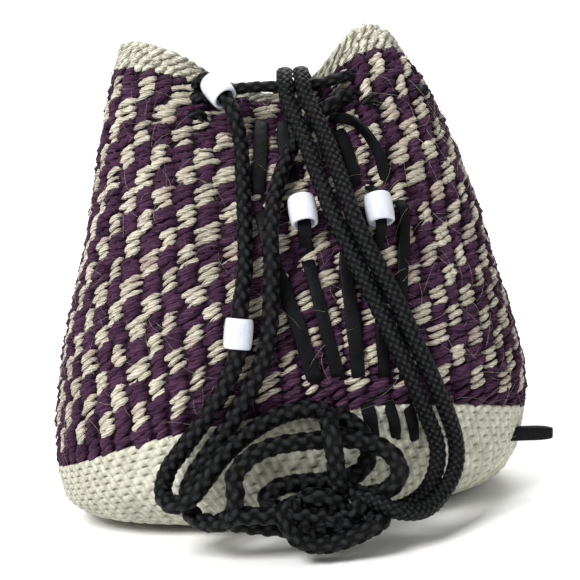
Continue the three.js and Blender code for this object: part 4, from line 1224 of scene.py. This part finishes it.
def press(path, rings):
    """Rings flattened downwards where the cord is bent over the mouth."""
    share = smooth(np.clip((path[:, 2] - PRESS_LOW) / (PRESS_HIGH - PRESS_LOW), 0, 1))[:, None]
    middle = path[:, 2:3]
    rings[..., 2] = middle - PRESS_DROP * share + (rings[..., 2] - middle) * (1 - PRESS_FLAT * share)
    return rings


def add_cord(name, route, diameter, braid, relief, first=(0.3, -0.9, 0.3), oval=None, shape=None):
    """Braided cord piece along a route, with its centre line in metres and its length. Braid has the number
    of strands one way round and the length of a diamond; oval gives the two stretches of the section from the
    path; shape changes the finished rings."""
    strands, diamond = braid
    path, run = smooth_path(route, diamond / BRAID_STEPS)
    section = oval(path) if oval else None
    rings, height = braided_rings(path, run, first, diameter, strands, diamond, relief, section)
    if shape:
        rings = shape(path, rings)
    piece = add_tubes(name, rings[None], run, material("cord_black"), relief=height[None])
    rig.slot(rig.replaces(piece, name), "cord_black")
    return piece, path[::LINE_SKIP] * MM, run[-1] * MM


def declare_cord(cord, diameter, beads=()):
    """Tells the frame how a cord lies: limp and hanging, with its far end in the knot."""
    piece, path, length = cord
    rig.cord(piece, exit=path[0], length=length, diameter=diameter, far_end="knot", stiffness="limp",
            lay="hanging", path=path, with_pieces=["end_knot_cord", *beads])


def full(path):
    """Stretches of the section of the strap: its plaits stand a little proud of the cord's size all along."""
    return np.full((2, len(path)), STRAP_FILL)


def slack(path):
    """Stretches of the section of the drawstring: drawn tight near the mouth, opened up where it lies
    slack."""
    loose = smooth(np.clip((SLACK_TOP - path[:, 2]) / (SLACK_TOP - SLACK_LOW), 0, 1))
    size = SLACK_SIZE + SLACK_GROWTH * loose
    return size, size


def pressed(path):
    """Stretches of the section of the loop: wider than deep, because it lies pressed against the knot."""
    return np.full(len(path), LOOP_WIDE), np.full(len(path), LOOP_DEEP)


class BAG_OT_drawstring(bpy.types.Operator):
    """Drawstring: the held part in the mouth and the two free ends, in a coarse round braid"""
    bl_idname = "bag.drawstring"
    bl_label = "Drawstring"

    def execute(self, context):
        cords = context.scene.bag_cords
        relief, held = cords.relief / MM, cords.held / MM
        add_cord("drawstring_ring", ring_route(), held, COARSE_BRAID, HELD_RELIEF * relief, (0, 0, 1))
        self.add_stitches(held, HELD_RELIEF * relief)
        thick = cords.drawstring / MM
        left = add_cord("drawstring_left", LEFT_ROUTE, thick, COARSE_BRAID, relief, oval=slack)
        declare_cord(left, cords.drawstring, ["bead_hanging_barrel"])
        right = add_cord("drawstring_right", RIGHT_ROUTE, thick, COARSE_BRAID, relief, oval=slack)
        declare_cord(right, cords.drawstring)
        return {"FINISHED"}

    def add_stitches(self, thick, relief):
        """Short runs of the drawstring that show on the wall between its rows: low arches that dive in at
        both ends with the square of the distance from their middle."""
        level, x = np.array(STITCHES, float).T
        point, normal, up = wall_frame(level, front_angle(level, x))
        t = np.linspace(-1, 1, STITCH_STEPS)[None, :, None]
        line = point[:, None] + np.cross(up, normal)[:, None] * STITCH_REACH * t
        line = line + normal[:, None] * (STITCH_RISE - STITCH_SINK * t**2)
        runs = [run_along(path) for path in line]
        rings, height = zip(*(braided_rings(path, run, (0, 0, 1), thick, *COARSE_BRAID, relief)
                              for path, run in zip(line, runs)))
        piece = add_tubes("drawstring_stitches", np.array(rings), np.array(runs), material("cord_black"),
                          relief=np.array(height))
        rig.slot(piece, "cord_black")


class BAG_OT_strap(bpy.types.Operator):
    """Strap: one cord doubled over the mouth, in a finer braid"""
    bl_idname = "bag.strap"
    bl_label = "Strap"

    def execute(self, context):
        cords = context.scene.bag_cords
        relief = STRAP_RELIEF * cords.relief / MM
        thick = cords.strap / MM
        strap = add_cord("strap_cord", STRAP_ROUTE, thick, FINE_BRAID, relief, oval=full, shape=press)
        declare_cord(strap, cords.strap)
        return {"FINISHED"}


class BAG_OT_knot(bpy.types.Operator):
    """Knot of the cord ends, with the loop below it and the strand above it"""
    bl_idname = "bag.knot"
    bl_label = "Knot"

    def execute(self, context):
        cords = context.scene.bag_cords
        relief, thick = cords.relief / MM, cords.drawstring / MM
        for name, line in self.turns().items():
            path, run = even_path(KNOT_CENTRE + line, COARSE_BRAID[1] / BRAID_STEPS)
            knot, height = braided_rings(path, run, (0, -1, 0), thick, *COARSE_BRAID, relief, slack(path))
            piece = add_tubes(name, knot[None], run, material("cord_black"), relief=height[None])
            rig.slot(piece, "cord_black")
            if name == "end_knot_cord":
                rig.replaces(piece, "end_knot")
        add_cord("knot_strand", STRAND_ROUTE, thick, COARSE_BRAID, relief, oval=slack)
        loop = add_cord("knot_loop", LOOP_ROUTE, thick, COARSE_BRAID, relief, (0, -1, 0), pressed)
        declare_cord(loop, cords.drawstring)
        return {"FINISHED"}

    def turns(self):
        """Lines of the knot about its centre: a trefoil, the sine plus twice the sine of the double angle
        across and the cosine minus twice that of the double angle up, with the sine of the triple angle in
        depth, and two ovals that lean."""
        t = np.linspace(0, 2 * np.pi, KNOT_STEPS)
        fold = np.stack([np.sin(t) + 2 * np.sin(2 * t), -np.sin(3 * t), np.cos(t) - 2 * np.cos(2 * t)], 1)
        oval = np.stack([np.cos(t), -np.sin(t), np.sin(t - KNOT_LEAN)], 1)
        return {
            "end_knot_cord": fold * KNOT_FOLD,
            "end_knot_wrap": oval * WRAP_REACH + WRAP_CENTRE,
            "end_knot_turn": oval * TURN_REACH + TURN_CENTRE,
        }


class BAG_OT_beads(bpy.types.Operator):
    """Four barrel beads, turned about their axes with rounded shoulders and an open bore"""
    bl_idname = "bag.beads"
    bl_label = "Beads"

    def execute(self, context):
        places = {"bead_mouth": BEAD_MOUTH, "bead_hanging": BEAD_HANGING}
        for name, (lace, row) in LACE_BEADS.items():
            points = lace_points(LACES[lace][1])
            places[name] = (points[row], points[row + 1] - points[row - 1])
        for name, (centre, axis) in places.items():
            self.add_bead(name, np.array(centre, float), unit(np.array(axis, float)))
        return {"FINISHED"}

    def add_bead(self, name, centre, axis):
        """A closed profile carried round the axis: a superellipse outside and a straight bore inside."""
        a = np.linspace(-np.pi / 2, np.pi / 2, BEAD_STEPS)
        lip = BEAD_BORE + BEAD_LIP
        inside = BEAD_HALF - BEAD_EDGE
        height = np.concatenate([BEAD_HALF * powered(np.sin(a), BEAD_SQUARE), [inside, 0, -inside]])
        reach = lip + (BEAD_RADIUS - lip) * np.abs(np.cos(a)) ** BEAD_SHOULDER
        reach = np.concatenate([reach, np.full(3, BEAD_BORE)])
        side = unit(np.cross(axis, (0.3, 0.9, 0.2)))
        other = np.cross(axis, side)
        psi = full_turn(BEAD_TURNS)
        spoke = side * np.cos(psi)[:, None] + other * np.sin(psi)[:, None]
        rings = centre + axis * height[None, :, None] + spoke[:, None] * reach[None, :, None]
        piece = add_tubes(name + "_barrel", rings[None], psi * BEAD_RADIUS, material("bead_white"), True)
        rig.slot(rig.replaces(piece, name), "bead_white")


def strip_section(width, thick, power):
    """Rounded rectangle of a strip: offsets across and out, from powers of the cosine and the sine."""
    psi = full_turn(STRIP_SIDES)
    return width / 2 * powered(np.cos(psi), STRIP_SQUARE), thick / 2 * powered(np.sin(psi), power)


class BAG_OT_laces(bpy.types.Operator):
    """Five flat leather laces that run down the front, in and out of the twining"""
    bl_idname = "bag.laces"
    bl_label = "Laces"

    def execute(self, context):
        thick = context.scene.bag_cords.lace / MM
        rng = np.random.default_rng(context.scene.bag_twine.seed + 3)
        for name, (width, rows) in LACES.items():
            self.add_lace(name, width, rows, thick, rng)
        return {"FINISHED"}

    def add_lace(self, name, width, rows, thick, rng):
        """A rounded rectangle carried along the lace's line, flat to the wall, twisted where the rows say so,
        with a slight cup and an uneven cut width."""
        table = np.array(rows, float)
        points = lace_points(rows)
        path, run = smooth_path(points, LACE_STEP)
        knots = run_along(points)
        at = run * knots[-1] / run[-1]
        level, x, twist = (np.interp(at, knots, table[:, k]) for k in (0, 1, 3))
        normal = wall_frame(level, front_angle(level, x))[1]
        along = unit(np.gradient(path, axis=0))
        across = unit(np.cross(along, normal))
        turn = np.radians(twist)[:, None]
        across = across * np.cos(turn) + np.cross(along, across) * np.sin(turn)
        face = np.cross(across, along)
        w, h = strip_section(width, thick, LACE_ROUND)
        h = h - LACE_CUP * (2 * w / width) ** 2
        ragged = np.ones(len(run))
        for size, length in LACE_RAGGED:
            ragged = ragged + size * np.sin(run / length + rng.uniform(0, 6))
        ring = across[:, None] * (w[None] * ragged[:, None])[..., None] + face[:, None] * h[None, :, None]
        piece = add_tubes(name + "_leather", (path[:, None] + ring)[None], run, material("leather_black"))
        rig.slot(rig.replaces(piece, name), "leather_black")


class BAG_OT_tab(bpy.types.Operator):
    """Folded leather loop low on the right side: a rounded strip carried out, round a half circle and back"""
    bl_idname = "bag.tab"
    bl_label = "Side tab"

    def execute(self, context):
        bend = (TAB_LAYER + TAB_SLOT) / 2
        straight = TAB_LENGTH - bend - TAB_LAYER / 2
        arc = np.linspace(-np.pi / 2, np.pi / 2, TAB_TURNS)
        fold = np.stack([straight + bend * np.cos(arc), bend * np.sin(arc)], 1)
        line = np.vstack([[(0, -bend)], fold, [(0, bend)]])
        path, run = even_path(np.column_stack([line, np.zeros(len(line))]), TAB_STEP)
        up = np.array((0.0, 0.0, 1.0))
        out = np.cross(unit(np.gradient(path, axis=0)), up)
        w, h = strip_section(TAB_HEIGHT, TAB_LAYER, TAB_ROUND)
        towards_end = (path[:, 0] - (1 - TAB_END) * TAB_LENGTH) / (TAB_END * TAB_LENGTH)
        narrow = 1 - TAB_NARROW * towards_end.clip(0) ** 2
        rings = path[:, None] + up * (w * narrow[:, None])[..., None] + out[:, None] * h[None, :, None]
        swing = Matrix.Rotation(math.radians(TAB_SWING), 3, "Z")
        turn = np.array(swing @ Matrix.Rotation(math.radians(TAB_DROOP), 3, "Y"))
        rings = rings @ turn.T + TAB_ROOT
        piece = add_tubes("side_tab_leather", rings[None], run, material("leather_black"))
        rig.slot(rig.replaces(piece, "side_tab"), "leather_black")
        return {"FINISHED"}


class BAG_OT_stage(bpy.types.Operator):
    """Pale floor, soft lights and the camera"""
    bl_idname = "bag.stage"
    bl_label = "Stage"

    def execute(self, context):
        stage = context.scene.bag_stage
        self.add_floor()
        self.add_camera(stage)
        for key, (place, aim, size) in LIGHTS.items():
            self.add_light(key + "_light", place, aim, size, getattr(stage, key))
        world = bpy.data.worlds.new("studio")
        world.use_nodes = True
        sky = world.node_tree.nodes["Background"]
        sky.inputs["Color"].default_value = (1, 1, 1, 1)
        sky.inputs["Strength"].default_value = stage.world
        context.scene.world = world
        context.scene.view_settings.view_transform = "Standard"
        return {"FINISHED"}

    def add_floor(self):
        """Square floor that turns up in a quarter circle into a low back wall: a profile carried along X."""
        bend = np.linspace(0, np.pi / 2, STAGE_STEPS)
        flat = np.linspace(*STAGE_FLAT, STAGE_STEPS)
        back = STAGE_BEND + STAGE_RADIUS
        y = np.concatenate([[-STAGE_HALF], flat, STAGE_BEND + STAGE_RADIUS * np.sin(bend), [back]])
        z = np.concatenate([np.zeros(STAGE_STEPS + 1), STAGE_RADIUS * (1 - np.cos(bend)), [STAGE_TOP]])
        z = z - STAGE_GAP
        x = np.linspace(-STAGE_HALF, STAGE_HALF, STAGE_COLUMNS)
        points = np.stack(np.broadcast_arrays(x[:, None], y[None], z[None]), -1) * MM
        mesh = bpy.data.meshes.new("studio_floor")
        i, j = np.meshgrid(np.arange(len(x) - 1), np.arange(len(y) - 1), indexing="ij")
        corner = i * len(y) + j
        quads = np.stack([corner, corner + len(y), corner + len(y) + 1, corner + 1], -1)
        mesh.from_pydata(points.reshape(-1, 3).tolist(), [], quads.reshape(-1, 4).tolist())
        mesh.polygons.foreach_set("use_smooth", np.ones(len(mesh.polygons), bool))
        mesh.materials.append(material("studio_floor"))
        floor = bpy.data.objects.new("studio_floor", mesh)
        bpy.context.scene.collection.objects.link(floor)
        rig.stage(floor)

    def add_camera(self, stage):
        """Camera that looks slightly down on the front, turned a little about its line of sight."""
        e, r = stage.elevation, stage.roll
        back = np.array((0, -math.cos(e), math.sin(e)))
        right, up = np.array((1.0, 0, 0)), np.array((0, math.sin(e), math.cos(e)))
        across = right * math.cos(r) - up * math.sin(r)
        above = up * math.cos(r) + right * math.sin(r)
        data = bpy.data.cameras.new("camera")
        data.sensor_width = SENSOR
        data.lens = SENSOR * stage.distance / stage.frame_width
        data.clip_start, data.clip_end = CLIP_NEAR, CLIP_FAR
        camera = bpy.data.objects.new("camera", data)
        place = np.eye(4)
        place[:3] = np.stack([across, above, back, CAMERA_TARGET + back * stage.distance], 1)
        camera.matrix_world = Matrix(place.tolist())
        bpy.context.scene.collection.objects.link(camera)
        bpy.context.scene.camera = camera

    def add_light(self, name, place, aim, size, power):
        """Square area light that looks at a point."""
        data = bpy.data.lights.new(name, "AREA")
        data.size = size
        data.energy = power
        lamp = bpy.data.objects.new(name, data)
        lamp.location = place
        lamp.rotation_euler = (Vector(aim) - Vector(place)).to_track_quat("-Z", "Y").to_euler()
        bpy.context.scene.collection.objects.link(lamp)


class BAG_PT_panel(bpy.types.Panel):
    """Sizes, colours and pieces of the bag"""
    bl_idname = "BAG_PT_panel"
    bl_label = "Twined sisal bag"
    bl_space_type = "VIEW_3D"
    bl_region_type = "UI"
    bl_category = "Bag"

    def draw(self, context):
        for key in PROPERTY_GROUPS:
            box = self.layout.box()
            group = getattr(context.scene, key)
            for name in group.__annotations__:
                box.prop(group, name)
        for operator in OPERATORS:
            self.layout.operator(operator.bl_idname)


PROPERTY_GROUPS = {
    "bag_twine": BagTwine, "bag_cords": BagCords, "bag_colours": BagColours, "bag_stage": BagStage}
OPERATORS = (
    BAG_OT_stage, BAG_OT_knot, BAG_OT_beads, BAG_OT_drawstring, BAG_OT_strap, BAG_OT_laces, BAG_OT_tab,
    BAG_OT_core, BAG_OT_body, BAG_OT_plain, BAG_OT_hairs)


def register():
    """Registers the classes and puts the properties on the scene."""
    for cls in (*PROPERTY_GROUPS.values(), *OPERATORS, BAG_PT_panel):
        bpy.utils.register_class(cls)
    for key, cls in PROPERTY_GROUPS.items():
        setattr(bpy.types.Scene, key, PointerProperty(type=cls))


def unregister():
    """Takes everything away again."""
    for key in PROPERTY_GROUPS:
        delattr(bpy.types.Scene, key)
    for cls in reversed((*PROPERTY_GROUPS.values(), *OPERATORS, BAG_PT_panel)):
        bpy.utils.unregister_class(cls)


def main():
    """Builds the stage and the pieces, and writes down both boxes."""
    register()
    bpy.ops.bag.stage()
    bpy.ops.bag.knot()
    bpy.ops.bag.beads()
    bpy.ops.bag.drawstring()
    bpy.ops.bag.strap()
    bpy.ops.bag.laces()
    bpy.ops.bag.tab()
    bpy.ops.bag.core()
    bpy.ops.bag.body()
    bpy.ops.bag.plain()
    bpy.ops.bag.hairs()
    sizes = {"cad": CAD_BOX, "visual": [list(corner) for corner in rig.bounds()]}
    with open("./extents.json", "w") as out:
        json.dump(sizes, out)


if __name__ == "__main__":
    main()
